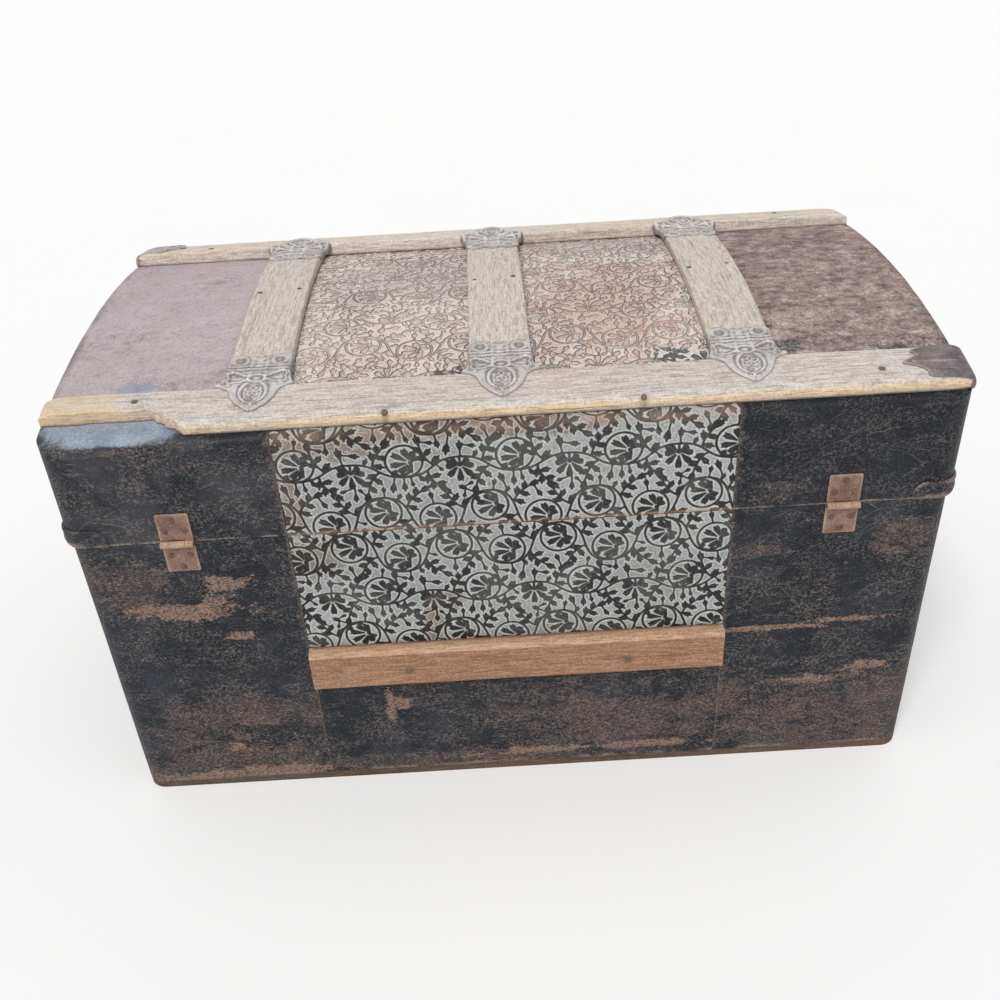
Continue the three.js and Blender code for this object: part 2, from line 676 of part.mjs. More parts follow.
// The lock case on the front, with a notch for the hasp's stud and a keyhole below it
function addLock() {
  const top = bodyTop - LOCK_DROP;
  const half = LOCK_WIDTH / 2;
  const outer = -faceLine - LOCK_THICKNESS;
  const plate = roundedRectangle(-half, half, top - LOCK_HEIGHT, top, LOCK_ROUNDING);
  const notchHalf = HASP_STUD_WIDTH / 2 + LOCK_NOTCH_CLEARANCE;
  const notchLow = haspLine - HASP_STUD_DROP - HASP_STUD_HEIGHT / 2 - LOCK_NOTCH_CLEARANCE;
  const keyholeZ = (notchLow + top - LOCK_HEIGHT) / 2 + KEYHOLE_RADIUS;
  const cut = [outer - CUT_OVERRUN, CUT_OVERRUN - faceLine];
  const keyholeX = [-KEYHOLE_RADIUS / 2, KEYHOLE_RADIUS / 2];
  const keyhole = alongY(new THREE.Shape(circlePoints(KEYHOLE_RADIUS, 0, keyholeZ)), ...cut)
    .add(block({ x: keyholeX, y: cut, z: [keyholeZ - KEYHOLE_SLOT, keyholeZ] }));
  const solid = alongY(plate, outer, -faceLine)
    .subtract(block({ x: [-notchHalf, notchHalf], y: cut, z: [notchLow, top + CUT_OVERRUN] }))
    .subtract(keyhole);
  add(body, 'lock_case', solid, 'lock');
}

// The hasp hangs from a plate on the lid, with a stud that drops into the lock's notch
function addHasp() {
  const thirds = [[0, 1 / 3], [1 / 3, 2 / 3], [2 / 3, 1]];
  const plate = strapLeaf({
    width: HASP_WIDTH,
    length: HASP_PLATE_HEIGHT,
    side: -1,
    axisZ: haspLine,
    clear: haspSwing,
    knuckles: [thirds[1]],
  });
  add(lid, 'hasp_plate', plate, 'lock');
  const half = HASP_WIDTH / 2;
  const back = -faceLine - LOCK_THICKNESS - FIT_GAP;
  const front = back - HASP_THICKNESS;
  const bottom = haspLine - HASP_LENGTH;
  const underKnuckle = haspLine - leafClear;
  const tongue = roundedRectangle(-half, half, bottom, haspLine, LOCK_ROUNDING);
  const studZ = haspLine - HASP_STUD_DROP;
  let solid = alongY(tongue, front, back)
    .intersect(block({ z: [-reach, underKnuckle] }))
    .add(block({
      x: [-HASP_STUD_WIDTH / 2, HASP_STUD_WIDTH / 2],
      y: [(front + back) / 2, back + HASP_STUD_DEPTH],
      z: [studZ - HASP_STUD_HEIGHT / 2, studZ + HASP_STUD_HEIGHT / 2],
    }));
  for (const [fromShare, toShare] of [thirds[0], thirds[2]]) {
    const from = -half + HASP_WIDTH * fromShare + (fromShare > 0 ? KNUCKLE_GAP / 2 : 0);
    const to = -half + HASP_WIDTH * toShare - (toShare < 1 ? KNUCKLE_GAP / 2 : 0);
    solid = solid
      .add(knuckle(from, to, -hingeLine, haspLine))
      .add(block({
        x: [from, to],
        y: [front, back],
        z: [underKnuckle - LOCK_ROUNDING, haspLine - PIN_RADIUS],
      }));
  }
  add(hasp, 'hasp', solid, 'lock');
  add(lid, 'hasp_pin', pin(-half, half, -hingeLine, haspLine), 'lock');
}

// How far the strap's middle stands off the end sheet at a place along the handle
function strapOffset(y) {
  const rest = FIT_GAP + STRAP_THICKNESS / 2;
  const grip = HANDLE_SPAN / 2;
  if (Math.abs(y) >= grip) {
    return rest;
  }
  return rest + (HANDLE_BOW / 2) * (1 + Math.cos((Math.PI * y) / grip));
}

function addHandles() {
  const end = HANDLE_SPAN / 2 + HANDLE_CAP_LENGTH - HANDLE_CAP_WALL - FIT_GAP;
  const places = Array.from({ length: STRAP_STEPS + 1 }, (_, step) => (
    -end + (2 * end * step) / STRAP_STEPS
  ));
  const edge = (share) => places.map((y) => (
    new THREE.Vector2(bodyHalf + strapOffset(y) + share * STRAP_THICKNESS, y)
  ));
  const outline = new THREE.Shape([...edge(-1 / 2), ...edge(1 / 2).reverse()]);
  const half = STRAP_WIDTH / 2;
  const strap = alongZ(outline, HANDLE_HEIGHT - half, HANDLE_HEIGHT + half);
  add(body, 'handle_strap_left', strap, 'leather');
  add(body, 'handle_strap_right', strap.mirror([1, 0, 0]), 'leather');
  const mouth = HANDLE_SPAN / 2;
  const far = mouth + HANDLE_CAP_LENGTH;
  const capLow = HANDLE_HEIGHT - HANDLE_CAP_WIDTH / 2;
  const capHigh = HANDLE_HEIGHT + HANDLE_CAP_WIDTH / 2;
  const slot = FIT_GAP + STRAP_THICKNESS + FIT_GAP;
  const shape = roundedRectangle(mouth, far, capLow, capHigh, HANDLE_CAP_WALL);
  const cap = alongX(shape, bodyHalf + FIT_GAP, bodyHalf + slot + HANDLE_CAP_THICKNESS)
    .subtract(block({
      x: [bodyHalf - CUT_OVERRUN, bodyHalf + slot],
      y: [mouth - CUT_OVERRUN, far - HANDLE_CAP_WALL],
      z: [HANDLE_HEIGHT - half - FIT_GAP, HANDLE_HEIGHT + half + FIT_GAP],
    }));
  for (const [endName, x] of SIDES) {
    for (const [face, y] of FACES) {
      const turnedX = x > 0 ? cap : cap.mirror([1, 0, 0]);
      const turned = y > 0 ? turnedX : turnedX.mirror([0, 1, 0]);
      add(body, `handle_cap_${endName}_${face}`, turned, 'clasp');
    }
  }
}

addBodyBoards();
addBodySheets();
addBodySlats();
addLidBoards();
addLidSheets();
addLidSlats();
addClasps();
addSlatCaps();
addValances();
addHinges();
addLock();
addHasp();
addHandles();

export default trunk;
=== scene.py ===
"""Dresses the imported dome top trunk: worn sheet metal, split hardwood slats and stamped fittings."""

from __future__ import annotations

import logging
import math
from dataclasses import dataclass, field, replace
from enum import Enum
from typing import Sequence

import bmesh
import bpy
import numpy as np
from mathutils import Matrix, Vector

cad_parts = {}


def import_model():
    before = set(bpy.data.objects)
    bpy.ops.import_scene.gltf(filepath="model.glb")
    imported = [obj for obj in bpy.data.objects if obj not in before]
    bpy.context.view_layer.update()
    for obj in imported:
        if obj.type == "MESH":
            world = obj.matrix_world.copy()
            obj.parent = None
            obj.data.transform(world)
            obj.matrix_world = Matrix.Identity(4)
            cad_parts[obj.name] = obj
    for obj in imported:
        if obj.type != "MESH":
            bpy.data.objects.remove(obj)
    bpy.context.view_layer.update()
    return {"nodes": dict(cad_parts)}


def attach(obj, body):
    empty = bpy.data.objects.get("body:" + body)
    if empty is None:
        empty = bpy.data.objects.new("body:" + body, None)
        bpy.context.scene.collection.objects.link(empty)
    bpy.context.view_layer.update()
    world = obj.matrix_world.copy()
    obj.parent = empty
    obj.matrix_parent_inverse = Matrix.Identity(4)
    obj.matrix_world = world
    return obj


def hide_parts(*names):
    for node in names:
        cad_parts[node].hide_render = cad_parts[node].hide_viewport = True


LOG = logging.getLogger("trunk")

MM = 0.001
TAU = 2 * math.pi

Point2 = tuple[float, float]
Point3 = tuple[float, float, float]
Colour = tuple[float, float, float, float]
Socket = bpy.types.NodeSocket
Fed = float | tuple | Socket


class Body(str, Enum):
    """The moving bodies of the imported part."""

    BODY = "body"
    LID = "lid"
    HASP = "hasp"


class Slot(str, Enum):
    """The record's material slots."""

    SLAT = "slat"
    BLACK = "black_sheet"
    EMBOSSED = "embossed_sheet"
    RUSTY = "rusty_sheet"
    EMBOSSED_TOP = "embossed_top"
    CLASP = "clasp"
    HINGE = "hinge"
    LOCK = "lock"
    LEATHER = "leather"


class Run(Enum):
    """The direction that a board's grain follows, as the turn that lays it along X."""

    ALONG = (0.0, 0.0, 0.0)
    ACROSS = (0.0, 0.0, math.pi / 2)


class Side(Enum):
    """Something that the trunk has on more than one side, with the sign of its axis."""

    @property
    def word(self) -> str:
        """The side's name in lower case."""
        return self.name.lower()


class Face(Side):
    """The hinge side and the lock side, with the sign of Y."""

    BACK = 1
    FRONT = -1


class End(Side):
    """The two ends, with the sign of X."""

    LEFT = 1
    RIGHT = -1


class Cross(Side):
    """The three cross slats, with their place along X in steps of their pitch."""

    LEFT = 1
    MIDDLE = 0
    RIGHT = -1


def tone(*screen: int) -> Colour:
    """Turns red, green and blue from 0 to 255 into the linear colour that shaders use."""
    shares = [value / 255 for value in screen]
    linear = [share / 12.92 if share <= 0.04045 else ((share + 0.055) / 1.055) ** 2.4 for share in shares]
    return (*linear, 1.0)


def joined(*parts: np.ndarray) -> np.ndarray:
    """Sets arrays of one shape side by side along a new last axis."""
    return np.stack(parts, axis=-1)


def smooth_noise(points: np.ndarray, seed: int) -> np.ndarray:
    """Gives smooth lattice noise.

    Args:
        points: an array of (..., 3) places, one lattice cell to a unit.
        seed: a whole number that picks the pattern.

    Returns:
        Values from -1 to 1 in the shape of the points.
    """
    flat = points.reshape(-1, 3)
    cell = np.floor(flat).astype(np.int64)
    part = flat - cell
    eased = part * part * (3 - 2 * part)
    total = np.zeros(len(flat))
    for corner in range(8):
        offset = np.array([(corner >> axis) & 1 for axis in range(3)])
        key = cell + offset
        mixed = key[:, 0] * 73856093 ^ key[:, 1] * 19349663 ^ key[:, 2] * 83492791
        mixed = mixed ^ (seed * 9176 + 311)
        mixed = (mixed ^ (mixed >> 13)) * 1274126177
        value = ((mixed ^ (mixed >> 16)) & 0xFFFF) / 32767.5 - 1
        total += np.prod(np.where(offset == 1, eased, 1 - eased), axis=1) * value
    return total.reshape(points.shape[:-1])


def noise_at(seed: int, *axes: np.ndarray | float) -> np.ndarray:
    """Smooth noise at places whose three axes are given one by one."""
    return smooth_noise(np.stack(np.broadcast_arrays(*axes), axis=-1), seed)


def patchy(points: np.ndarray, size: float, seed: int, middle: float, swing: float = 0.6) -> np.ndarray:
    """Strengths that swing round the middle from place to place, in patches of a size."""
    return middle + swing * smooth_noise(points / size, seed)


def ease(value: np.ndarray | float, low: float, high: float) -> np.ndarray:
    """Rises smoothly from 0 at low to 1 at high, which may be below low."""
    share = np.clip((np.asarray(value, float) - low) / (high - low), 0, 1)
    return share * share * (3 - 2 * share)


def way_along(path: np.ndarray) -> np.ndarray:
    """Distance along a path from its first point to each point."""
    return np.cumsum(np.linalg.norm(np.diff(path, axis=0, prepend=path[:1]), axis=1))


@dataclass(frozen=True)
class TrunkForm:
    """The trunk's sizes in millimetres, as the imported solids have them."""

    body_half: float = 432.0
    lid_half: float = 435.0
    half_depth: float = 235.0
    seam: float = 345.0
    seam_gap: float = 0.6
    crease: float = 456.0
    rise: float = 26.0
    corner: float = 20.0
    shoulder_bend: float = 6.0
    foot: float = 9.3
    sheet: float = 1.0
    fit: float = 0.3
    panel_half: float = 217.0
    half_joint: float = 0.15
    lap_width: float = 12.0
    lap_lift: float = 0.45
    shoulder_line: float = 199.0
    cross_pitch: float = 234.0
    slat_width: float = 50.0
    slat_thickness: float = 14.0
    slat_margin: float = 10.0
    cross_thickness: float = 10.0
    cross_width: float = 60.0
    slat_top: float = 200.0
    slat_height: float = 50.0
    hinge_offset: float = 324.0

    @property
    def sheet_depth(self) -> float:
        """How far a modelled sheet reaches in from its outer face."""
        return self.sheet + 0.2

    @property
    def radius(self) -> float:
        """Radius of the dome's arc."""
        return (self.half_depth**2 + self.rise**2) / (2 * self.rise)

    @property
    def centre(self) -> float:
        """Height of the arc's centre."""
        return self.crease + self.rise - self.radius

    @property
    def edge_run(self) -> float:
        """Run from the crown to the shoulder along the arc."""
        return self.radius * math.asin(self.half_depth / self.radius)

    @property
    def outer_run(self) -> float:
        """Run to the outer edge of a long slat."""
        return self.edge_run - self.slat_margin

    @property
    def inner_run(self) -> float:
        """Run to the inner edge of a long slat."""
        return self.outer_run - self.slat_width

    @property
    def body_top(self) -> float:
        """Top of the body's sheets."""
        return self.seam - self.seam_gap / 2

    @property
    def lid_bottom(self) -> float:
        """Bottom of the lid's sheets."""
        return self.seam + self.seam_gap / 2

    def lap(self, across: np.ndarray) -> np.ndarray:
        """Grows from 0 to 1, in one column, where an end sheet nears the panel that it laps over."""
        return ease(across, self.panel_half + self.lap_width, self.panel_half)[:, None]

    def over_dome(self, run: np.ndarray, height: np.ndarray) -> tuple[np.ndarray, np.ndarray]:
        """Bends runs and heights over the dome.

        Args:
            run: distance along the arc from the crown.
            height: height above the skin.

        Returns:
            The Y and Z of each point.
        """
        angle = np.asarray(run) / self.radius
        reach = self.radius + np.asarray(height)
        return reach * np.sin(angle), self.centre + reach * np.cos(angle)

    def skin(self, y: np.ndarray) -> np.ndarray:
        """Height of the lid's skin, with its bent shoulders.

        Args:
            y: distance from the middle of the depth.

        Returns:
            The height of the skin there.
        """
        far = np.minimum(np.abs(y), self.half_depth)
        arc = self.centre + np.sqrt(self.radius**2 - far**2)
        flat = self.half_depth - self.shoulder_bend
        arc_flat = self.centre + math.sqrt(self.radius**2 - flat**2)
        share = np.sqrt(np.clip((self.half_depth - far) / self.shoulder_bend, 0, 1))
        low = self.crease - self.shoulder_bend
        bend = (1 - share) ** 2 * low + 2 * (1 - share) * share * self.crease
        return np.where(far > flat, bend + share**2 * arc_flat, arc)


FORM = TrunkForm()


@dataclass
class MeshDraft:
    """Collects the points, faces and point values of one piece, in millimetres."""

    points: list[np.ndarray] = field(default_factory=list)
    faces: list[Sequence[int]] = field(default_factory=list)
    values: dict[str, list[np.ndarray]] = field(default_factory=dict)
    count: int = 0

    def add(self, points: np.ndarray, faces: Sequence[Sequence[int]], **values: np.ndarray) -> None:
        """Adds a patch.

        Args:
            points: its (N, 3) points.
            faces: its faces, numbered from the patch's first point.
            values: one number for each point, under its attribute's name.
        """
        flat = np.asarray(points, float).reshape(-1, 3)
        start = self.count
        self.faces.extend([tuple(int(i) + start for i in face) for face in faces])
        for name in set(values) | set(self.values):
            rows = self.values.setdefault(name, [np.zeros(start)] if start else [])
            given = values.get(name)
            rows.append(np.zeros(len(flat)) if given is None else np.asarray(given, float).ravel())
        self.points.append(flat)
        self.count += len(flat)

    def settle(
        self, name: str, finish: Finish, body: Body, slot: Slot, *nodes: str, sharp: float = 40.0,
    ) -> None:
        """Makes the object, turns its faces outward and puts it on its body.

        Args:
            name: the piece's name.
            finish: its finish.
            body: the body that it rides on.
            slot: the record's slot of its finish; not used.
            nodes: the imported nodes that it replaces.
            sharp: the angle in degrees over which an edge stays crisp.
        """
        mesh = bpy.data.meshes.new(name)
        mesh.from_pydata((np.concatenate(self.points) * MM).tolist(), [], self.faces)
        mesh.validate()
        for label, rows in self.values.items():
            layer = mesh.attributes.new(label, "FLOAT", "POINT")
            layer.data.foreach_set("value", np.concatenate(rows).astype(np.float32))
        mesh.materials.append(finish.material())
        mesh.shade_smooth()
        mesh.set_sharp_from_angle(angle=math.radians(sharp))
        mesh.update()
        piece = bpy.data.objects.new(name, mesh)
        bpy.context.scene.collection.objects.link(piece)
        work = bmesh.new()
        work.from_mesh(mesh)
        bmesh.ops.recalc_face_normals(work, faces=work.faces)
        work.to_mesh(mesh)
        work.free()
        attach(piece, body.value)
        if nodes:
            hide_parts(*nodes)
        LOG.info("%s rides on %s, %d points", name, body.value, len(mesh.vertices))


def grid_faces(rows: int, columns: int, start: int = 0, around: bool = False) -> list[tuple[int, ...]]:
    """Numbers the quads of a grid of points.

    Args:
        rows: rows of points.
        columns: points in each row.
        start: number of the first point.
        around: whether each row closes on itself.

    Returns:
        The faces.
    """
    faces = []
    last = columns if around else columns - 1
    for row in range(rows - 1):
        base = start + row * columns
        for column in range(last):
            after = (column + 1) % columns
            faces.append((base + column, base + after, base + columns + after, base + columns + column))
    return faces


def flip(faces: Sequence[Sequence[int]]) -> list[tuple[int, ...]]:
    """Turns each face over."""
    return [tuple(reversed(face)) for face in faces]


def grid_normals(grid: np.ndarray) -> np.ndarray:
    """Normals of a grid of points, from its own slopes.

    Args:
        grid: points in (rows, columns, 3).

    Returns:
        Unit normals in the same shape.
    """
    across = np.gradient(grid, axis=1)
    down = np.gradient(grid, axis=0)
    normal = np.cross(across, down)
    return normal / np.maximum(np.linalg.norm(normal, axis=2, keepdims=True), 1e-9)


def dense_sheet(draft: MeshDraft, grid: np.ndarray, inward: np.ndarray, **values: np.ndarray) -> None:
    """Adds a sheet with a dense outer face and a plain inner one.

    The rows may bend; each row runs straight, so the inner face needs only its two ends.

    Args:
        draft: the piece that the sheet joins.
        grid: outer points in (rows, columns, 3), facing out by its own winding.
        inward: the (rows, 3) way from each row's outer points to the inner face.
        values: point values in (rows, columns).
    """
    rows, columns = grid.shape[:2]
    first = grid[:, 0] + inward
    last = grid[:, -1] + inward
    points = np.concatenate([grid.reshape(-1, 3), first, last])
    outer = rows * columns
    faces = grid_faces(rows, columns)
    for row in range(rows - 1):
        near, far = outer + row, outer + rows + row
        faces.append((near + 1, far + 1, far, near))
        here, there = row * columns, (row + 1) * columns
        faces.append((here, there, near + 1, near))
        faces.append((there + columns - 1, here + columns - 1, far, far + 1))
    faces.append((*reversed(range(columns)), outer, outer + rows))
    low = (rows - 1) * columns
    faces.append((*range(low, low + columns), outer + 2 * rows - 1, outer + rows - 1))
    padded = {
        name: np.concatenate([value.ravel(), value[:, 0], value[:, -1]]) for name, value in values.items()
    }
    draft.add(points, faces, **padded)


def closed_plate(draft: MeshDraft, outer: np.ndarray, inner: np.ndarray, **values: np.ndarray) -> None:
    """Adds a plate between two grids of the same shape, closed round its rim.

    Args:
        draft: the piece that the plate joins.
        outer: outer points in (rows, columns, 3).
        inner: inner points in the same shape.
        values: point values of the outer grid, used for both.
    """
    rows, columns = outer.shape[:2]
    count = rows * columns
    faces = grid_faces(rows, columns) + flip(grid_faces(rows, columns, count))
    rim = list(range(columns))
    rim += [row * columns + columns - 1 for row in range(1, rows)]
    rim += [(rows - 1) * columns + column for column in reversed(range(columns - 1))]
    rim += [row * columns for row in reversed(range(1, rows - 1))]
    for here, there in zip(rim, rim[1:] + rim[:1]):
        faces.append((there, here, here + count, there + count))
    points = np.concatenate([outer.reshape(-1, 3), inner.reshape(-1, 3)])
    both = {name: np.concatenate([np.ravel(value)] * 2) for name, value in values.items()}
    draft.add(points, faces, **both)


def loft(draft: MeshDraft, sections: np.ndarray, **values: np.ndarray) -> None:
    """Adds a closed bar through a row of closed sections.

    Args:
        draft: the piece that the bar joins.
        sections: points in (stations, points, 3).
        values: point values in (stations, points).
    """
    stations, around = sections.shape[:2]
    faces = grid_faces(stations, around, around=True)
    faces.append(tuple(reversed(range(around))))
    faces.append(tuple(range((stations - 1) * around, stations * around)))
    draft.add(sections, faces, **{name: np.ravel(value) for name, value in values.items()})


class Graph:
    """Adds and joins the nodes of one node tree."""

    def __init__(self, tree: bpy.types.NodeTree) -> None:
        """Starts on a tree, which may be empty."""
        self.tree = tree

    def add(
        self, kind: str, inputs: dict[str | int, Fed] | None = None, **settings: object,
    ) -> bpy.types.Node:
        """Adds a node.

        Args:
            kind: the node's type, without its ShaderNode prefix.
            inputs: sockets to join or numbers to set, by name or number.
            settings: the node's own settings.

        Returns:
            The node.
        """
        node = self.tree.nodes.new("ShaderNode" + kind)
        for name, value in settings.items():
            setattr(node, name, value)
        for key, value in (inputs or {}).items():
            self.feed(node, key, value)
        return node

    def feed(self, node: bpy.types.Node, key: str | int, value: Fed) -> None:
        """Joins a socket to an input, or sets the input's own value.

        Args:
            node: the node to feed.
            key: the input's name or number.
            value: a socket, a number or a colour.
        """
        if isinstance(value, bpy.types.NodeSocket):
            self.tree.links.new(value, node.inputs[key])
        else:
            node.inputs[key].default_value = value

    def places(self) -> Socket:
        """Object coordinates, which are the trunk's own metres at rest."""
        return self.add("TexCoord").outputs["Object"]

    def attribute(self, name: str) -> Socket:
        """The number that a mesh keeps at its points under a name."""
        return self.add("Attribute", attribute_name=name).outputs["Fac"]

    def scaled(
        self, vector: Socket, scale: Point3, turn: Point3 = (0, 0, 0), shift: Point3 = (0, 0, 0),
    ) -> Socket:
        """Turns, shifts and scales coordinates.

        Args:
            vector: the coordinates.
            scale: the factor on each axis, after the turn.
            turn: turns about X, Y and Z in radians.
            shift: what is added before the scale.

        Returns:
            The new coordinates.
        """
        turned = vector
        if any(turn) or any(shift):
            inputs = {"Vector": vector, "Rotation": turn, "Location": shift}
            turned = self.add("Mapping", inputs).outputs[0]
        return self.vector("MULTIPLY", turned, scale)

    def vector(self, operation: str, first: Fed, second: Fed) -> Socket:
        """One sum on vectors, by its name."""
        return self.add("VectorMath", {0: first, 1: second}, operation=operation).outputs[0]

    def noise(
        self, vector: Socket, scale: Fed, detail: float = 4, rough: float = 0.6, warp: float = 0,
    ) -> Socket:
        """Cloudy noise from 0 to 1, with so many finer layers, their strength and a bend."""
        inputs = {"Vector": vector, "Scale": scale, "Detail": detail, "Roughness": rough, "Distortion": warp}
        return self.add("TexNoise", inputs).outputs["Fac"]

    def maths(self, operation: str, first: Fed, second: Fed = 0.0, clamp: bool = False) -> Socket:
        """One sum on numbers, by its name, which may be clamped from 0 to 1."""
        inputs = {0: first, 1: second}
        return self.add("Math", inputs, operation=operation, use_clamp=clamp).outputs[0]

    def times(self, first: Fed, second: Fed, clamp: bool = False) -> Socket:
        """The product of two numbers."""
        return self.maths("MULTIPLY", first, second, clamp)

    def plus(self, first: Fed, second: Fed) -> Socket:
        """The sum of two numbers."""
        return self.maths("ADD", first, second)

    def less(self, first: Fed, second: Fed, clamp: bool = False) -> Socket:
        """The first number less the second."""
        return self.maths("SUBTRACT", first, second, clamp)

    def most(self, first: Fed, second: Fed) -> Socket:
        """The larger of two numbers."""
        return self.maths("MAXIMUM", first, second)

    def rise(self, value: Fed, low: Fed, high: Fed, start: Fed = 0.0, end: Fed = 1.0) -> Socket:
        """Eases from start to end while the number goes from low to high."""
        inputs = {"Value": value, "From Min": low, "From Max": high, "To Min": start, "To Max": end}
        return self.add("MapRange", inputs, interpolation_type="SMOOTHSTEP").outputs[0]

    def mix(self, share: Fed, first: Fed, second: Fed) -> Socket:
        """Mixes two colours by a share of the second."""
        return self.add("Mix", {0: share, 6: first, 7: second}, data_type="RGBA").outputs[2]

    def coat(self, base: Fed, share: Fed, strength: Fed, colour: Fed) -> Socket:
        """Lays a colour on the base, where a share times a strength is high."""
        return self.mix(self.times(share, strength), base, colour)

    def speckled(self, base: Fed, grains: Socket, dark: Fed, light: Fed, low: Point3, high: Point3) -> Socket:
        """Darkens the base in the low grains and lightens it in the high ones.

        Args:
            base: the colour below.
            grains: the fine noise.
            dark: the colour of the low grains.
            light: the colour of the high grains.
            low: from where to where the dark fades, and its strength.
            high: from where to where the light grows, and its strength.

        Returns:
            The colour.
        """
        base = self.mix(self.rise(grains, low[0], low[1], low[2], 0.0), base, dark)
        return self.mix(self.rise(grains, high[0], high[1], 0.0, high[2]), base, light)

    def bump(
        self, height: Socket, distance: float, strength: float = 1.0, under: Socket | None = None,
    ) -> Socket:
        """Tilts normals by a height.

        Args:
            height: the height from 0 to 1.
            distance: how far 1 stands up, in metres.
            strength: how much of the tilt is used.
            under: the normals below it, if any.

        Returns:
            The normal.
        """
        inputs: dict[str | int, Fed] = {"Height": height, "Distance": distance, "Strength": strength}
        if under is not None:
            inputs["Normal"] = under
        return self.add("Bump", inputs).outputs[0]


class Effect:
    """A shader node group that several finishes share."""

    label = "effect"
    takes: tuple[tuple[str, str, object], ...] = ()
    gives: tuple[tuple[str, str], ...] = ()

    def wire(self, graph: Graph, taken: dict[str, Socket]) -> dict[str, Socket]:
        """Joins up the group's inside.

        Args:
            graph: the group's own tree.
            taken: its inputs by name.

        Returns:
            What it puts out, by name.
        """
        raise NotImplementedError

    def group(self) -> bpy.types.NodeTree:
        """Builds the group the first time, and finds it after that."""
        found = bpy.data.node_groups.get(self.label)
        if found:
            return found
        tree = bpy.data.node_groups.new(self.label, "ShaderNodeTree")
        for name, kind, value in self.takes:
            socket = tree.interface.new_socket(name, in_out="INPUT", socket_type=kind)
            if value is not None:
                socket.default_value = value
        for name, kind in self.gives:
            tree.interface.new_socket(name, in_out="OUTPUT", socket_type=kind)
        inlet = tree.nodes.new("NodeGroupInput")
        outlet = tree.nodes.new("NodeGroupOutput")
        taken = {name: inlet.outputs[name] for name, _, _ in self.takes}
        for name, socket in self.wire(Graph(tree), taken).items():
            tree.links.new(socket, outlet.inputs[name])
        return tree

    def place(self, graph: Graph, **values: Fed) -> dict[str, Socket]:
        """Puts the group in a material.

        Args:
            graph: the material's tree.
            values: its inputs by name.

        Returns:
            Its outputs by name.
        """
        node = graph.tree.nodes.new("ShaderNodeGroup")
        node.node_tree = self.group()
        for name, value in values.items():
            graph.feed(node, name, value)
        return {name: node.outputs[name] for name, _ in self.gives}


FLOAT = "NodeSocketFloat"
VECTOR = "NodeSocketVector"


class Patches(Effect):
    """Ragged patches at three sizes, such as rust that has come through paint."""

    label = "ragged_patches"
    takes = (("Places", VECTOR, None), ("Scale", FLOAT, 6.0), ("Amount", FLOAT, 0.4), ("Ragged", FLOAT, 0.02))
    gives = (("Mask", FLOAT), ("Cloud", FLOAT))

    def wire(self, graph: Graph, taken: dict[str, Socket]) -> dict[str, Socket]:
        """Cuts a sum of clouds at a level that the amount sets."""
        cloud = graph.noise(taken["Places"], taken["Scale"], 5, 0.62, 0.4)
        total = graph.times(cloud, 0.32)
        for stretch, finer, share in (((1, 1, 2.6), 6.0, 0.34), ((1, 1, 1.7), 40.0, 0.34)):
            scale = graph.times(taken["Scale"], finer)
            layer = graph.noise(graph.scaled(taken["Places"], stretch), scale, 4, 0.72, 0.3)
            total = graph.plus(total, graph.times(layer, share))
        level = graph.less(0.63, graph.times(taken["Amount"], 0.26))
        low = graph.less(level, taken["Ragged"])
        high = graph.plus(level, taken["Ragged"])
        return {"Mask": graph.rise(total, low, high), "Cloud": cloud}


class Stain(Effect):
    """One ragged stain round a place."""

    label = "placed_stain"
    takes = (
        ("Places", VECTOR, None), ("Centre", VECTOR, None), ("Reach", VECTOR, (0.1, 0.1, 0.1)),
        ("Break", FLOAT, 0.5),
    )
    gives = (("Mask", FLOAT),)

    def wire(self, graph: Graph, taken: dict[str, Socket]) -> dict[str, Socket]:
        """Measures from the centre in reaches, and breaks up the rim."""
        share = graph.vector(
            "DIVIDE", graph.vector("SUBTRACT", taken["Places"], taken["Centre"]), taken["Reach"],
        )
        square = graph.vector("MULTIPLY", share, share)
        gap = graph.maths("SQRT", graph.add("VectorMath", {0: square}, operation="LENGTH").outputs["Value"])
        cloud = graph.noise(graph.scaled(taken["Places"], (1, 1, 1.8)), 24.0, 6, 0.72, 0.5)
        fine = graph.noise(graph.scaled(taken["Places"], (1, 1, 1.6)), 260.0, 3, 0.7)
        rough = graph.plus(graph.times(cloud, 8.0), graph.times(fine, 3.5))
        rough = graph.times(graph.less(rough, 5.75), taken["Break"])
        return {"Mask": graph.rise(graph.plus(gap, rough), 1.05, 0.88)}


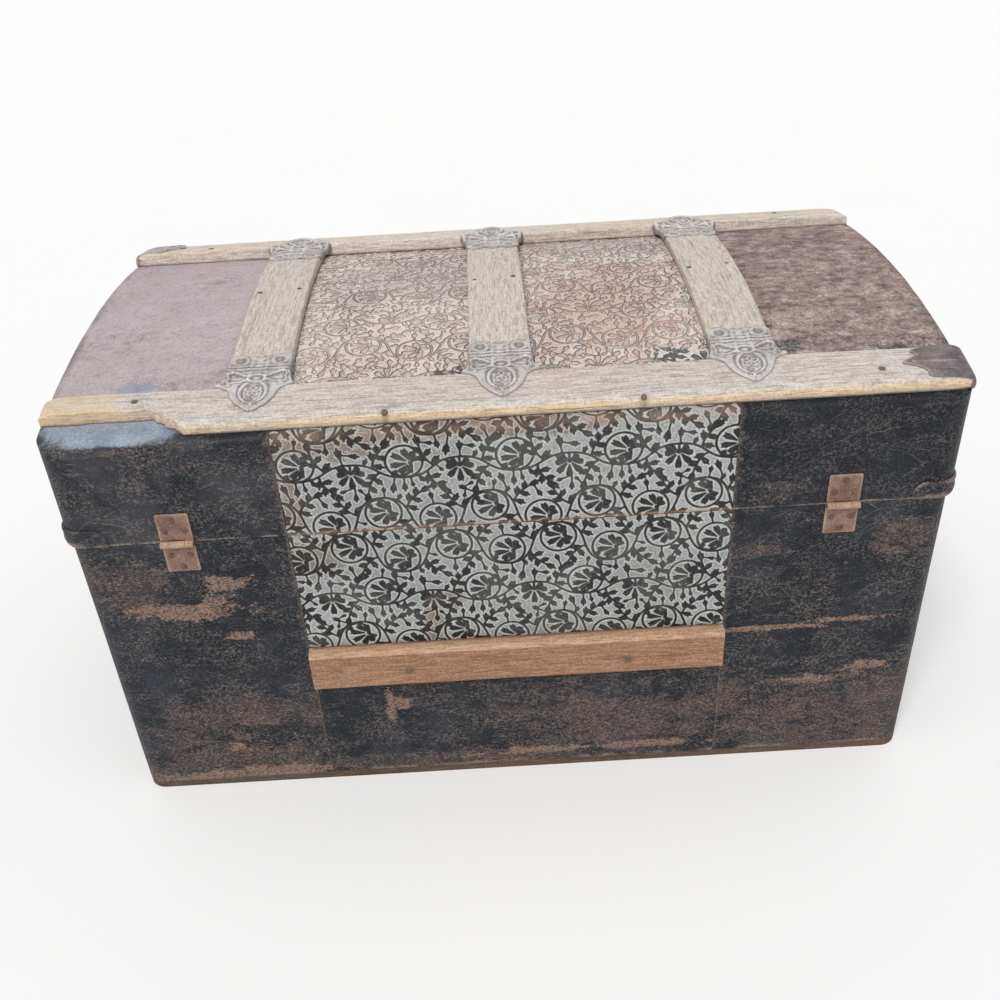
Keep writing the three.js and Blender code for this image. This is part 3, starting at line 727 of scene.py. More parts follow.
class Scratches(Effect):
    """Fine scratches in several directions, slightly bent."""

    label = "fine_scratches"
    takes = (("Places", VECTOR, None), ("Amount", FLOAT, 0.5))
    gives = (("Mask", FLOAT),)
    turns = (
        (0.3, 0.12, 0.0, 6.0, 60.0), (-0.45, 0.3, 0.4, 9.0, 70.0), (0.5, -0.75, 0.3, 12.0, 56.0),
        (0.6, 1.0, -0.5, 12.0, 52.0), (-0.5, -0.35, 0.8, 9.0, 66.0),
    )
    thick = 0.0005

    def wire(self, graph: Graph, taken: dict[str, Socket]) -> dict[str, Socket]:
        """Keeps the hairlines along which noise that is long in two directions crosses its middle."""
        bend = graph.add("TexNoise", {"Vector": taken["Places"], "Scale": 9.0, "Detail": 3}).outputs["Color"]
        inputs = {0: bend, 1: (0.07, 0.07, 0.07), 2: taken["Places"]}
        bent = graph.add("VectorMath", inputs, operation="MULTIPLY_ADD").outputs[0]
        gate_low = graph.less(0.66, graph.times(taken["Amount"], 0.3))
        gate_high = graph.plus(gate_low, 0.13)
        total: Socket | None = None
        for index, (tip, lean, twist, length, width) in enumerate(self.turns):
            shift = (0.37 * index, 0.11 * index, 0.53 * index)
            lines = graph.scaled(bent, (length, length * 0.8, width), (tip, lean, twist), shift)
            beside = graph.vector("ADD", lines, (0, 0, self.thick * width))
            here = graph.less(graph.noise(lines, 1.0, 0, 0.5), 0.5)
            there = graph.less(graph.noise(beside, 1.0, 0, 0.5), 0.5)
            crest = graph.maths("LESS_THAN", graph.times(here, there), 0.0)
            where = graph.noise(graph.scaled(taken["Places"], (21, 21, 21), (0, 0, 0), shift), 1.0, 5, 0.7)
            mark = graph.times(crest, graph.rise(where, gate_low, gate_high))
            total = mark if total is None else graph.most(total, mark)
        return {"Mask": total}


class Grain(Effect):
    """Wood grain along X: fibres, broad figure and open checks."""

    label = "wood_grain"
    takes = (("Places", VECTOR, None), ("Scale", FLOAT, 1.0), ("Checks", FLOAT, 0.5))
    gives = (("Fibre", FLOAT), ("Figure", FLOAT), ("Check", FLOAT), ("Height", FLOAT))

    def wire(self, graph: Graph, taken: dict[str, Socket]) -> dict[str, Socket]:
        """Stretches noise along the board at three widths."""
        places = graph.add(
            "VectorMath", {0: taken["Places"], "Scale": taken["Scale"]}, operation="SCALE",
        ).outputs[0]
        fibre = graph.noise(graph.scaled(places, (46, 500, 500)), 1.0, 6, 0.78, 0.25)
        figure = graph.noise(graph.scaled(places, (3.2, 62, 62)), 1.0, 5, 0.66, 1.1)
        slits = graph.noise(
            graph.scaled(places, (7.5, 230, 230), (0, 0, 0), (3.1, 0.7, 0.2)), 1.0, 3, 0.55, 0.3,
        )
        level = graph.less(0.76, graph.times(taken["Checks"], 0.16))
        check = graph.rise(slits, level, graph.plus(level, 0.05))
        mixed = graph.plus(graph.times(fibre, 0.7), graph.times(figure, 0.3))
        height = graph.less(mixed, graph.times(check, 0.7))
        return {"Fibre": fibre, "Figure": figure, "Check": check, "Height": height}


class Speckle(Effect):
    """Close mottling, from grains of dirt."""

    label = "close_speckle"
    takes = (("Places", VECTOR, None), ("Scale", FLOAT, 500.0))
    gives = (("Grains", FLOAT),)

    def wire(self, graph: Graph, taken: dict[str, Socket]) -> dict[str, Socket]:
        """Draws a fine noise."""
        return {"Grains": graph.noise(taken["Places"], taken["Scale"], 3, 0.7)}


PATCHES = Patches()
STAIN = Stain()
SCRATCHES = Scratches()
GRAIN = Grain()
SPECKLE = Speckle()


@dataclass(frozen=True)
class Mark:
    """A stain at a place: its centre and reach in millimetres."""

    centre: Point3
    reach: Point3
    ragged: float = 0.5

    def mask(self, graph: Graph, places: Socket) -> Socket:
        """The stain's mask in a material.

        Args:
            graph: the material's tree.
            places: its coordinates.

        Returns:
            The mask.
        """
        centre = tuple(value * MM for value in self.centre)
        reach = tuple(value * MM for value in self.reach)
        return STAIN.place(graph, Places=places, Centre=centre, Reach=reach, Break=self.ragged)["Mask"]


def joined_marks(graph: Graph, places: Socket, marks: Sequence[Mark]) -> Socket | None:
    """The masks of several stains as one.

    Args:
        graph: the material's tree.
        places: its coordinates.
        marks: the stains.

    Returns:
        The joined mask, or nothing where there are no stains.
    """
    total: Socket | None = None
    for mark in marks:
        mask = mark.mask(graph, places)
        total = mask if total is None else graph.most(total, mask)
    return total


def marked(graph: Graph, base: Fed, marks: Sequence[Mark], strength: float, colour: Colour) -> Fed:
    """Lays a colour on the base inside some stains.

    Args:
        graph: the material's tree.
        base: the colour below.
        marks: the stains, if any.
        strength: how strong the colour is.
        colour: the colour of the stains.

    Returns:
        The colour.
    """
    mask = joined_marks(graph, graph.places(), marks)
    return base if mask is None else graph.coat(base, mask, strength, colour)


class Finish:
    """A material that is made once from its own values."""

    name: str

    def dress(self, graph: Graph) -> dict[str, Fed]:
        """Joins the material's nodes.

        Args:
            graph: the material's tree.

        Returns:
            What feeds the shader, by socket name.
        """
        raise NotImplementedError

    def material(self) -> bpy.types.Material:
        """Builds the material the first time, and finds it after that."""
        found = bpy.data.materials.get(self.name)
        if found:
            return found
        made = bpy.data.materials.new(self.name)
        made.use_nodes = True
        made.node_tree.nodes.clear()
        graph = Graph(made.node_tree)
        shader = graph.add("BsdfPrincipled", self.dress(graph))
        graph.add("OutputMaterial", {"Surface": shader.outputs[0]})
        return made


@dataclass(frozen=True)
class Wood(Finish):
    """Old hardwood: greyed where it lies open, warm and lighter where worn, with worn rounded edges that also
    stand in for a painted highlight.
    """

    name: str
    run: Run
    grey: Colour
    tan: Colour
    brown: Colour
    warm: Colour
    checks: float = 0.5
    scale: float = 1.0
    shine: float = 0.72
    marks: tuple[Mark, ...] = ()
    fleck: float = 1.0
    pale: Colour = tone(235, 228, 220)
    bare_low: Colour = tone(176, 138, 106)
    bare_high: Colour = tone(246, 232, 208)

    def dress(self, graph: Graph) -> dict[str, Fed]:
        """Grain, weathering, worn edges that also carry a painted highlight, nail stains, and painted shade
        with some dirt along the foot.
        """
        places = graph.places()
        turned = graph.scaled(places, (1, 1, 1), self.run.value) if any(self.run.value) else places
        grain = GRAIN.place(graph, Places=turned, Scale=self.scale, Checks=self.checks)
        fibre = grain["Fibre"]
        grains = SPECKLE.place(graph, Places=places, Scale=380.0)["Grains"]
        weather = graph.noise(graph.scaled(turned, (5, 22, 22)), 1.0, 5, 0.66, 0.4)
        base = graph.mix(graph.rise(weather, 0.38, 0.6), self.tan, self.grey)
        base = graph.mix(graph.rise(grain["Figure"], 0.5, 0.66, 0.0, 0.5), base, self.brown)
        low, high = (0.38, 0.51, 0.8 * self.fleck), (0.5, 0.62, 0.6 * self.fleck)
        base = graph.speckled(base, fibre, self.brown, self.pale, low, high)
        base = graph.speckled(base, grains, self.brown, self.pale, (0.38, 0.54, 0.34), (0.52, 0.68, 0.4))
        # Worn places show warm bare wood; on the slats' rounded edges this lighter wood is also a painted
        # highlight.
        worn = graph.attribute("worn")
        uneven = graph.plus(worn, graph.times(graph.less(weather, 0.5), 1.1))
        rubbed_and_highlight = graph.times(worn, graph.rise(uneven, 0.38, 0.62), True)
        rubbed_and_highlight = graph.times(rubbed_and_highlight, graph.rise(fibre, 0.34, 0.52, 0.6, 1.0))
        bare = graph.mix(graph.rise(weather, 0.5, 0.66, 0.0, 0.7), self.warm, self.tan)
        streak = graph.plus(graph.times(fibre, 0.65), graph.times(grains, 0.35))
        bare = graph.speckled(bare, streak, self.bare_low, self.bare_high, (0.4, 0.5, 0.75), (0.5, 0.58, 0.7))
        base = marked(graph, graph.mix(rubbed_and_highlight, base, bare), self.marks, 0.4, self.warm)
        base = graph.coat(base, graph.attribute("nail"), 0.5, tone(88, 74, 66))
        # Dark brown along the slats' feet and undersides: painted shade with some dirt.
        base = graph.coat(base, graph.attribute("dirt"), 0.85, tone(78, 54, 42))
        base = graph.coat(base, grain["Check"], 0.6, tone(96, 78, 66))
        rough = graph.rise(fibre, 0.3, 0.7, self.shine - 0.08, self.shine + 0.12)
        normal = graph.bump(grain["Height"], 0.0016, 0.8)
        return {"Base Color": base, "Roughness": rough, "Normal": normal, "Specular IOR Level": 0.25}


@dataclass(frozen=True)
class Japanned(Finish):
    """Black japanned sheet, scratched and worn through to brown rust."""

    name: str
    amount: float
    rusty: tuple[Mark, ...] = ()
    bright: tuple[Mark, ...] = ()
    mauve: tuple[Mark, ...] = ()
    black: Colour = tone(20, 24, 31)
    haze: Colour = tone(46, 49, 56)
    dust: float = 0.8

    def dress(self, graph: Graph) -> dict[str, Fed]:
        """Paint, haze, ragged wear, scratches, dust, and bare tin with a painted sky reflection."""
        places = graph.places()
        haze = graph.noise(places, 9.0, 6, 0.66, 0.5)
        base = graph.mix(graph.rise(haze, 0.4, 0.68), self.black, self.haze)
        grains = SPECKLE.place(graph, Places=graph.scaled(places, (1, 1, 1.4)), Scale=440.0)["Grains"]
        drift = graph.noise(graph.scaled(places, (22, 22, 40)), 1.0, 6, 0.7)
        dusty = graph.times(graph.rise(grains, 0.47, 0.66), graph.rise(drift, 0.38, 0.6, 0.15, self.dust))
        dust = graph.mix(graph.rise(drift, 0.42, 0.56), tone(103, 106, 112), tone(122, 115, 109))
        base = graph.mix(dusty, base, dust)
        amount: Fed = self.amount
        film = joined_marks(graph, places, self.mauve)
        if film is not None:
            amount = graph.plus(graph.times(film, 0.42), self.amount)
        wear = PATCHES.place(graph, Places=places, Scale=6.5, Amount=amount, Ragged=0.028)["Mask"]
        rust = graph.mix(graph.rise(drift, 0.42, 0.58), tone(88, 80, 77), tone(110, 92, 87))
        dark, light = tone(64, 57, 56), tone(144, 132, 122)
        rust = graph.speckled(rust, grains, dark, light, (0.38, 0.6, 0.6), (0.54, 0.68, 0.6))
        rusted = graph.times(wear, graph.rise(grains, 0.4, 0.52, 0.2, 0.92))
        base = graph.mix(rusted, base, rust)
        deep = joined_marks(graph, places, self.rusty)
        if deep is not None:
            bitten = graph.times(deep, graph.rise(grains, 0.38, 0.5, 0.3, 0.95))
            bare = graph.mix(graph.rise(grains, 0.4, 0.62), tone(114, 94, 84), tone(152, 126, 110))
            base = graph.mix(bitten, base, bare)
            rusted = graph.most(rusted, bitten)
        lines = SCRATCHES.place(graph, Places=places, Amount=0.5)["Mask"]
        shade = graph.mix(graph.rise(haze, 0.42, 0.6), tone(118, 112, 108), tone(164, 158, 150))
        base = graph.coat(base, lines, 0.42, shade)
        ragged = graph.rise(grains, 0.38, 0.56, 0.3, 1.0)
        worn = graph.times(graph.rise(graph.attribute("worn"), 0.26, 0.8), ragged, True)
        base = graph.mix(worn, base, tone(140, 122, 111))
        metal: Fed = 0.0
        # Bare tin where the paint is gone, painted light blue-grey: the bare metal with a painted sky
        # reflection.
        bare_sheen_mask = joined_marks(graph, places, self.bright)
        if bare_sheen_mask is not None:
            sheet = graph.mix(graph.rise(drift, 0.36, 0.62), tone(128, 140, 160), tone(160, 170, 186))
            sheet = graph.mix(graph.rise(grains, 0.5, 0.68, 0.0, 0.5), sheet, tone(206, 212, 220))
            base = graph.coat(base, bare_sheen_mask, 0.96, sheet)
            metal = graph.times(bare_sheen_mask, 0.12)
        rough = graph.plus(graph.rise(haze, 0.3, 0.7, 0.44, 0.58), graph.times(rusted, 0.3))
        relief = graph.plus(graph.times(rusted, -0.4), graph.times(grains, 0.5))
        normal = graph.bump(graph.less(relief, graph.times(lines, 0.4)), 0.0005, 0.8)
        normal = graph.bump(graph.noise(places, 36.0, 4, 0.6), 0.0016, 0.4, normal)
        return {
            "Base Color": base, "Roughness": rough, "Metallic": metal, "Normal": normal,
            "Specular IOR Level": 0.2,
        }


@dataclass(frozen=True)
class Embossed(Finish):
    """Embossed sheet: silver paint on the ground, black in the sunk strokes, stained in places, with painted
    shade and a painted highlight round the relief.
    """

    name: str
    ground: Colour
    second: Colour
    ink: Colour
    stain: Colour
    spread: float
    ink_wear: float
    marks: tuple[Mark, ...] = ()
    silver_marks: tuple[Mark, ...] = ()
    silver: Colour = tone(172, 176, 174)
    red_marks: tuple[Mark, ...] = ()
    grey_marks: tuple[Mark, ...] = ()
    metal: float = 0.2
    groove: Colour = tone(104, 98, 92)
    ink_kept: float = 1.0
    fill: float = 0.55
    outline: float = 0.0
    relief: float = 0.0008

    def dress(self, graph: Graph) -> dict[str, Fed]:
        """Ground, stipple, stains, the strokes' paint, painted shade in and round the strokes, and a painted
        highlight on their rims.
        """
        places = graph.places()
        vine = graph.attribute("vine")
        stroke = graph.rise(vine, 0.55, 0.0)
        grains = SPECKLE.place(graph, Places=places, Scale=430.0)["Grains"]
        cloud = graph.noise(places, 9.0, 7, 0.62, 0.4)
        base = graph.mix(graph.rise(cloud, 0.36, 0.66), self.ground, self.second)
        patch = PATCHES.place(graph, Places=places, Scale=13.0, Amount=self.spread, Ragged=0.03)
        stained = patch["Mask"]
        deep = joined_marks(graph, places, self.marks)
        if deep is not None:
            stained = graph.most(stained, deep)
        base = graph.coat(base, stained, 0.78, self.stain)
        base = marked(graph, base, self.red_marks, 0.6, tone(204, 160, 142))
        base = marked(graph, base, self.grey_marks, 0.6, tone(180, 164, 164))
        fade = graph.rise(patch["Cloud"], 0.44, 0.58, self.ink_kept, 1.0 - self.ink_wear)
        shine = joined_marks(graph, places, self.silver_marks)
        if shine is not None:
            base = graph.coat(base, shine, 0.85, self.silver)
            fade = graph.most(fade, graph.times(shine, 0.85))
        kept = graph.times(stroke, fade)
        base = graph.speckled(
            base, grains, self.groove, tone(238, 238, 234), (0.36, 0.54, 0.42), (0.54, 0.68, 0.4),
        )
        # A painted highlight on the raised rim beside each stroke.
        rim = graph.times(graph.rise(vine, 0.45, 0.8), graph.rise(vine, 2.0, 1.1))
        base = graph.coat(base, rim, 0.35, tone(236, 234, 228))
        # The sunk strokes darkened with the groove colour: painted shade of the relief, under the ink.
        base = graph.coat(base, stroke, self.fill, self.groove)
        # A darker line at each stroke's edge: painted shade of the relief.
        if self.outline:
            edge = graph.times(graph.rise(vine, -0.45, 0.15), graph.rise(vine, 0.85, 0.35))
            strength = graph.rise(cloud, 0.36, 0.6, 0.45 * self.outline, self.outline)
            base = graph.coat(base, edge, strength, self.groove)
        ink = graph.mix(graph.rise(grains, 0.5, 0.72, 0.0, 0.35), self.ink, self.stain)
        base = graph.mix(kept, base, ink)
        base = graph.coat(base, graph.attribute("worn"), 0.7, tone(166, 130, 104))
        lines = SCRATCHES.place(graph, Places=places, Amount=0.35)["Mask"]
        base = graph.coat(base, lines, 0.3, tone(206, 198, 186))
        rough = graph.rise(grains, 0.3, 0.7, 0.5, 0.7)
        metal = graph.times(graph.less(1.0, graph.most(stained, kept)), self.metal)
        normal = graph.bump(graph.rise(vine, 1.3, -0.7, 1.0, 0.0), self.relief, 0.9)
        normal = graph.bump(grains, 0.0006, 0.6, normal)
        return {
            "Base Color": base, "Roughness": rough, "Metallic": metal, "Normal": normal,
            "Specular IOR Level": 0.3,
        }


@dataclass(frozen=True)
class Rusted(Finish):
    """Sheet whose paint has gone to an even mauve-brown rust."""

    name: str
    first: Colour
    second: Colour
    dark_marks: tuple[Mark, ...] = ()
    blue_marks: tuple[Mark, ...] = ()
    pitted: float = 0.2
    dark: Colour = tone(120, 104, 106)
    mottle: float = 0.2

    def dress(self, graph: Graph) -> dict[str, Fed]:
        """Rust cloud, paint remains, pits and bluish bare patches."""
        places = graph.places()
        cloud = graph.noise(places, 7.0, 8, 0.7, 0.4)
        base = graph.mix(graph.rise(cloud, 0.36, 0.64), self.first, self.second)
        grains = SPECKLE.place(graph, Places=places, Scale=330.0)["Grains"]
        blotch = graph.noise(graph.scaled(places, (1.0, 1.5, 1.0)), 62.0, 6, 0.74)
        base = graph.mix(graph.rise(blotch, 0.49, 0.39, 0.0, self.mottle), base, self.dark)
        base = graph.mix(graph.rise(blotch, 0.52, 0.61, 0.0, self.mottle * 0.75), base, tone(206, 190, 184))
        low, high = (0.36, 0.54, 0.25 + 0.4 * self.mottle), (0.54, 0.7, 0.3)
        base = graph.speckled(base, grains, self.dark, tone(216, 206, 204), low, high)
        dark = joined_marks(graph, places, self.dark_marks)
        amount: Fed = self.pitted
        if dark is not None:
            amount = graph.plus(graph.times(dark, 0.5), self.pitted)
        flakes = PATCHES.place(graph, Places=places, Scale=16.0, Amount=amount, Ragged=0.024)["Mask"]
        base = graph.coat(base, flakes, 0.45, self.dark)
        if dark is not None:
            broken = graph.rise(grains, 0.47, 0.58, 0.95, 0.1)
            held = graph.times(graph.times(dark, graph.rise(blotch, 0.6, 0.5, 0.1, 1.0)), broken)
            paint = graph.mix(graph.rise(blotch, 0.42, 0.56), tone(52, 56, 64), tone(86, 100, 102))
            base = graph.mix(held, base, paint)
        base = marked(graph, base, self.blue_marks, 0.7, tone(142, 154, 172))
        lines = SCRATCHES.place(graph, Places=places, Amount=0.45)["Mask"]
        base = graph.coat(base, lines, 0.3, tone(214, 200, 192))
        base = graph.coat(base, graph.attribute("worn"), 0.55, tone(96, 82, 80))
        rough = graph.rise(grains, 0.3, 0.7, 0.62, 0.82)
        normal = graph.bump(graph.less(graph.times(grains, 0.5), flakes), 0.0005, 0.6)
        return {"Base Color": base, "Roughness": rough, "Normal": normal, "Specular IOR Level": 0.3}


@dataclass(frozen=True)
class Steel(Finish):
    """Stamped steel with a brown patina, lighter on what stands up from wear and a painted highlight."""

    name: str
    body: Colour
    low: Colour
    high: Colour
    metal: float
    rough: float
    spread: float = 0.3
    rust: Colour = tone(122, 82, 62)
    deep: Colour = tone(58, 50, 46)

    def dress(self, graph: Graph) -> dict[str, Fed]:
        """Patina, painted shade with patina in the recesses, worn crests with a painted highlight, and rust.
        """
        places = graph.places()
        cloud = graph.noise(places, 45.0, 7, 0.68, 0.3)
        grains = SPECKLE.place(graph, Places=places, Scale=520.0)["Grains"]
        base = graph.mix(graph.rise(cloud, 0.4, 0.62), self.body, self.low)
        # Lighter where the piece stands up: wear with a painted highlight.
        base = graph.coat(base, graph.attribute("proud"), graph.rise(cloud, 0.34, 0.62, 0.95, 0.6), self.high)
        # Darker in recesses, bores, creases and along edges: painted shade, with patina in the recesses.
        hollow = graph.attribute("hollow")
        base = graph.coat(base, hollow, 0.8, self.deep)
        patch = PATCHES.place(graph, Places=places, Scale=26.0, Amount=self.spread, Ragged=0.03)["Mask"]
        base = graph.coat(base, patch, 0.6, self.rust)
        base = graph.speckled(base, grains, self.low, self.high, (0.36, 0.52, 0.5), (0.54, 0.7, 0.35))
        rusted = graph.most(patch, hollow)
        low_rough = graph.rise(grains, 0.3, 0.7, self.rough - 0.06, self.rough + 0.08)
        rough = graph.plus(graph.times(rusted, 0.2), low_rough)
        metal = graph.times(graph.less(1.0, rusted, True), self.metal)
        normal = graph.bump(graph.plus(grains, graph.times(cloud, 1.5)), 0.0006, 0.6)
        return {"Base Color": base, "Roughness": rough, "Metallic": metal, "Normal": normal}


@dataclass(frozen=True)
class Leather(Finish):
    """Dry leather strap with fine creases and rubbed edges."""

    name: str
    dark: Colour
    light: Colour

    def dress(self, graph: Graph) -> dict[str, Fed]:
        """Pores, creases across the strap and rubbed edges."""
        places = graph.places()
        pores = graph.add("TexVoronoi", {"Vector": places, "Scale": 900.0}).outputs["Distance"]
        cloud = graph.noise(places, 30.0, 6, 0.6, 0.3)
        crease = graph.noise(graph.scaled(places, (60, 260, 14)), 1.0, 4, 0.6, 0.5)
        base = graph.mix(graph.rise(cloud, 0.35, 0.68), self.dark, self.light)
        base = graph.mix(graph.rise(crease, 0.56, 0.66, 0.0, 0.5), base, tone(38, 26, 22))
        base = graph.coat(base, graph.attribute("worn"), 0.65, tone(132, 96, 66))
        base = graph.coat(base, graph.attribute("stitch"), 0.9, tone(168, 148, 112))
        relief = graph.less(graph.times(pores, 0.5), graph.rise(crease, 0.54, 0.66))
        rough = graph.rise(cloud, 0.3, 0.7, 0.58, 0.78)
        return {"Base Color": base, "Roughness": rough, "Normal": graph.bump(relief, 0.0005, 0.7)}


def ahead(place: Point2, distance: float, turn: float) -> Point2:
    """The place that lies so far from another, at an angle."""
    return (place[0] + distance * math.cos(turn), place[1] + distance * math.sin(turn))


@dataclass
class VineTile:
    """One repeat of the embossed scrollwork: each point's distance in millimetres to the nearest stroke."""

    width: float = 206.0
    height: float = 112.0
    step: float = 0.5
    reach: float = 16.0
    ring: float = 17.5
    line_half: float = 0.85
    distances: np.ndarray = field(init=False)

    def __post_init__(self) -> None:
        """Draws every stroke."""
        shape = (round(self.height / self.step), round(self.width / self.step))
        self.distances = np.full(shape, self.reach)
        self.draw()

    def stroke(self, start: Point2, end: Point2, first: float, last: float) -> None:
        """Draws one tapered stroke, wrapping round the tile.

        Args:
            start: where it starts.
            end: where it ends.
            first: its half width at the start.
            last: its half width at the end.
        """
        margin = self.reach + max(first, last)
        spans = []
        for one, other in zip(start, end):
            low = math.floor((min(one, other) - margin) / self.step)
            spans.append(np.arange(low, math.ceil((max(one, other) + margin) / self.step) + 1))
        across, up = np.meshgrid(spans[0] * self.step, spans[1] * self.step)
        way = (end[0] - start[0], end[1] - start[1])
        length = max(way[0] ** 2 + way[1] ** 2, 1e-6)
        share = np.clip(((across - start[0]) * way[0] + (up - start[1]) * way[1]) / length, 0, 1)
        gap = np.hypot(across - start[0] - share * way[0], up - start[1] - share * way[1])
        gap = gap - first - (last - first) * share
        spot = np.ix_(spans[1] % self.distances.shape[0], spans[0] % self.distances.shape[1])
        self.distances[spot] = np.minimum(self.distances[spot], gap)

    def line(self, points: Sequence[Point2], first: float, last: float) -> None:
        """Draws a line through points, tapering from first to last."""
        count = len(points) - 1
        for index in range(count):
            thick = first + (last - first) * index / count
            thin = first + (last - first) * (index + 1) / count
            self.stroke(points[index], points[index + 1], thick, thin)

    @staticmethod
    def bend(start: Point2, leave: float, end: Point2, arrive: float, pull: float) -> list[Point2]:
        """Points of a curve between two places with set headings.

        Args:
            start: the first place.
            leave: the heading there.
            end: the last place.
            arrive: the heading there.
            pull: how far each heading holds, as a share of the distance.

        Returns:
            The points.
        """
        reach = math.dist(start, end) * pull
        near, far = ahead(start, reach, leave), ahead(end, -reach, arrive)
        points = []
        for share in np.linspace(0, 1, 17):
            rest = 1 - share
            weights = (rest**3, 3 * rest * rest * share, 3 * rest * share * share, share**3)
            points.append(tuple(
                sum(weight * place[axis] for weight, place in zip(weights, (start, near, far, end)))
                for axis in range(2)
            ))
        return points

    def blade(self, base: Point2, heading: float, length: float, fat: float) -> None:
        """Draws a leaf with three points.

        Args:
            base: where it leaves its stalk.
            heading: the way it points.
            length: its length.
            fat: half its width.
        """
        neck = ahead(base, length * 0.42, heading)
        self.stroke(base, neck, 0.45, fat)
        self.stroke(neck, ahead(neck, length * 0.58, heading), fat, 0.3)
        root = ahead(base, length * 0.36, heading)
        for turn in (0.62, -0.62):
            self.stroke(root, ahead(root, length * 0.42, heading + turn), fat * 0.8, 0.4)

    def spray(self, base: Point2, heading: float, length: float, blades: int, curl: float) -> None:
        """Draws a stalk with leaves.

        Args:
            base: where it leaves the vine.
            heading: the way it points.
            length: its length.
            blades: how many leaves it has.
            curl: how much it bends.
        """
        last = heading + curl * 0.6
        points = self.bend(base, heading - curl, ahead(base, length, heading), last, 0.35)
        self.line(points, self.line_half, 0.6)
        self.blade(points[-2], last, 12.5, 2.9)
        for index in range(blades - 1):
            side = 1 if index % 2 else -1
            root = points[min(2 + 3 * index, 14)]
            self.blade(root, last + side * (1.0 - 0.06 * index), 12.0 - 0.6 * index, 2.6)

    def petals(
        self, hub: Point2, centre: Point2, bound: float, heading: float, count: int, spread: float,
    ) -> None:
        """Draws a fan of notched petals inside a circle.

        Args:
            hub: where the petals meet.
            centre: the circle's centre.
            bound: its radius.
            heading: the middle of the fan.
            count: how many petals.
            spread: the angle of the fan.
        """
        off = (hub[0] - centre[0], hub[1] - centre[1])
        for index in range(count):
            turn = heading + spread * (index / (count - 1) - 0.5)
            along = off[0] * math.cos(turn) + off[1] * math.sin(turn)
            inside = along * along - off[0] ** 2 - off[1] ** 2 + bound * bound
            far = math.sqrt(max(inside, 1.0)) - along
            if far < 4.5:
                continue
            fat = min(3.1, far * spread / (count - 1) * 0.4)
            waist = ahead(hub, far * 0.76, turn)
            self.stroke(ahead(hub, far * 0.24, turn), waist, 0.5, fat)
            for lean in (2.0 / far, 0.0, -2.0 / far):
                self.stroke(waist, ahead(hub, far - (0.4 if lean else 1.6), turn + lean), fat * 0.8, 0.55)

    def scroll(self, centre: Point2, start: float, sense: int) -> None:
        """Draws a ring that curls in to a fan of petals.

        Args:
            centre: the ring's centre.
            start: the angle where the vine joins it.
            sense: 1 to turn left, -1 to turn right.
        """
        sweep = math.radians(316)
        points = [ahead(centre, self.ring, start + sense * sweep * index / 32) for index in range(33)]
        for index in range(1, 15):
            share = index / 14
            angle = start + sense * (sweep + math.radians(118) * share)
            points.append(ahead(centre, self.ring * (1 - 0.64 * share**1.4), angle))
        self.line(points, self.line_half, self.line_half)
        hub = points[-1]
        self.dot(hub)
        away = math.atan2(centre[1] - hub[1], centre[0] - hub[0])
        self.petals(hub, centre, self.ring * 0.77, away - sense * 0.25, 7, math.radians(225))

    def dot(self, hub: Point2) -> None:
        """Draws the round eye of a fan."""
        self.stroke(hub, (hub[0] + 0.1, hub[1]), 1.9, 1.9)

    def draw(self) -> None:
        """Draws two waving stems with rings, open fans and leaf sprays."""
        rows = (
            ((27, 24, True), (78, 36, True), (129, 21, True), (181, 34, True)),
            ((52, 79, False), (104, 92, True), (155, 76, False), (206, 91, True)),
        )
        for level, row in enumerate(rows):
            for index, (x, y, ringed) in enumerate(row):
                sign = 1 if (index + level) % 2 else -1
                next_x, next_y, next_ringed = row[(index + 1) % len(row)]
                next_x += self.width if index == len(row) - 1 else 0
                here = (x, y + sign * self.ring * (1 if ringed else 0.8))
                there = (next_x, next_y - sign * self.ring * (1 if next_ringed else 0.8))
                stem = self.bend(here, 0, there, 0, 0.52)
                self.line(stem, self.line_half, self.line_half)
                if ringed:
                    self.scroll((x, y), sign * math.pi / 2, -sign)
                else:
                    hub = (x, y + sign * 5)
                    self.stroke(here, hub, 0.8, 0.8)
                    self.dot(hub)
                    self.petals(hub, (x, y), 13.5, -sign * math.pi / 2, 7, math.radians(250))
                middle = stem[8]
                low = math.atan2(y - sign * (self.ring + 14) - middle[1], x + 4 - middle[0])
                high = math.atan2(next_y + sign * (self.ring + 14) - middle[1], next_x - 4 - middle[0])
                self.spray(stem[9], low, 27, 5, 0.5 * sign)
                self.spray(stem[6], high, 25, 5, -0.5 * sign)
                self.blade(stem[3], 1.1 * sign, 9, 1.8)
                self.blade(stem[13], 0.9 * sign, 9, 1.8)
        self.fill(40, 5.2)

    def fill(self, most: int, least: float) -> None:
        """Grows a stalked leaf into each wide gap, largest first.

        Args:
            most: how many leaves at most.
            least: the smallest gap that gets one.
        """
        turns = np.linspace(0, TAU, 36, endpoint=False)
        for _ in range(most):
            row, column = np.unravel_index(np.argmax(self.distances), self.distances.shape)
            gap = float(self.distances[row, column])
            if gap < least:
                break
            middle = (column * self.step, row * self.step)
            ring = gap + 0.6
            near = self.sample(middle[0] + ring * np.cos(turns), middle[1] + ring * np.sin(turns))
            turn = float(turns[int(np.argmin(near))])
            base = ahead(middle, 0.4 * gap, turn)
            self.stroke(ahead(middle, gap, turn), base, 0.6, 0.6)
            self.blade(base, turn + math.pi, gap * 1.25, gap * 0.27)

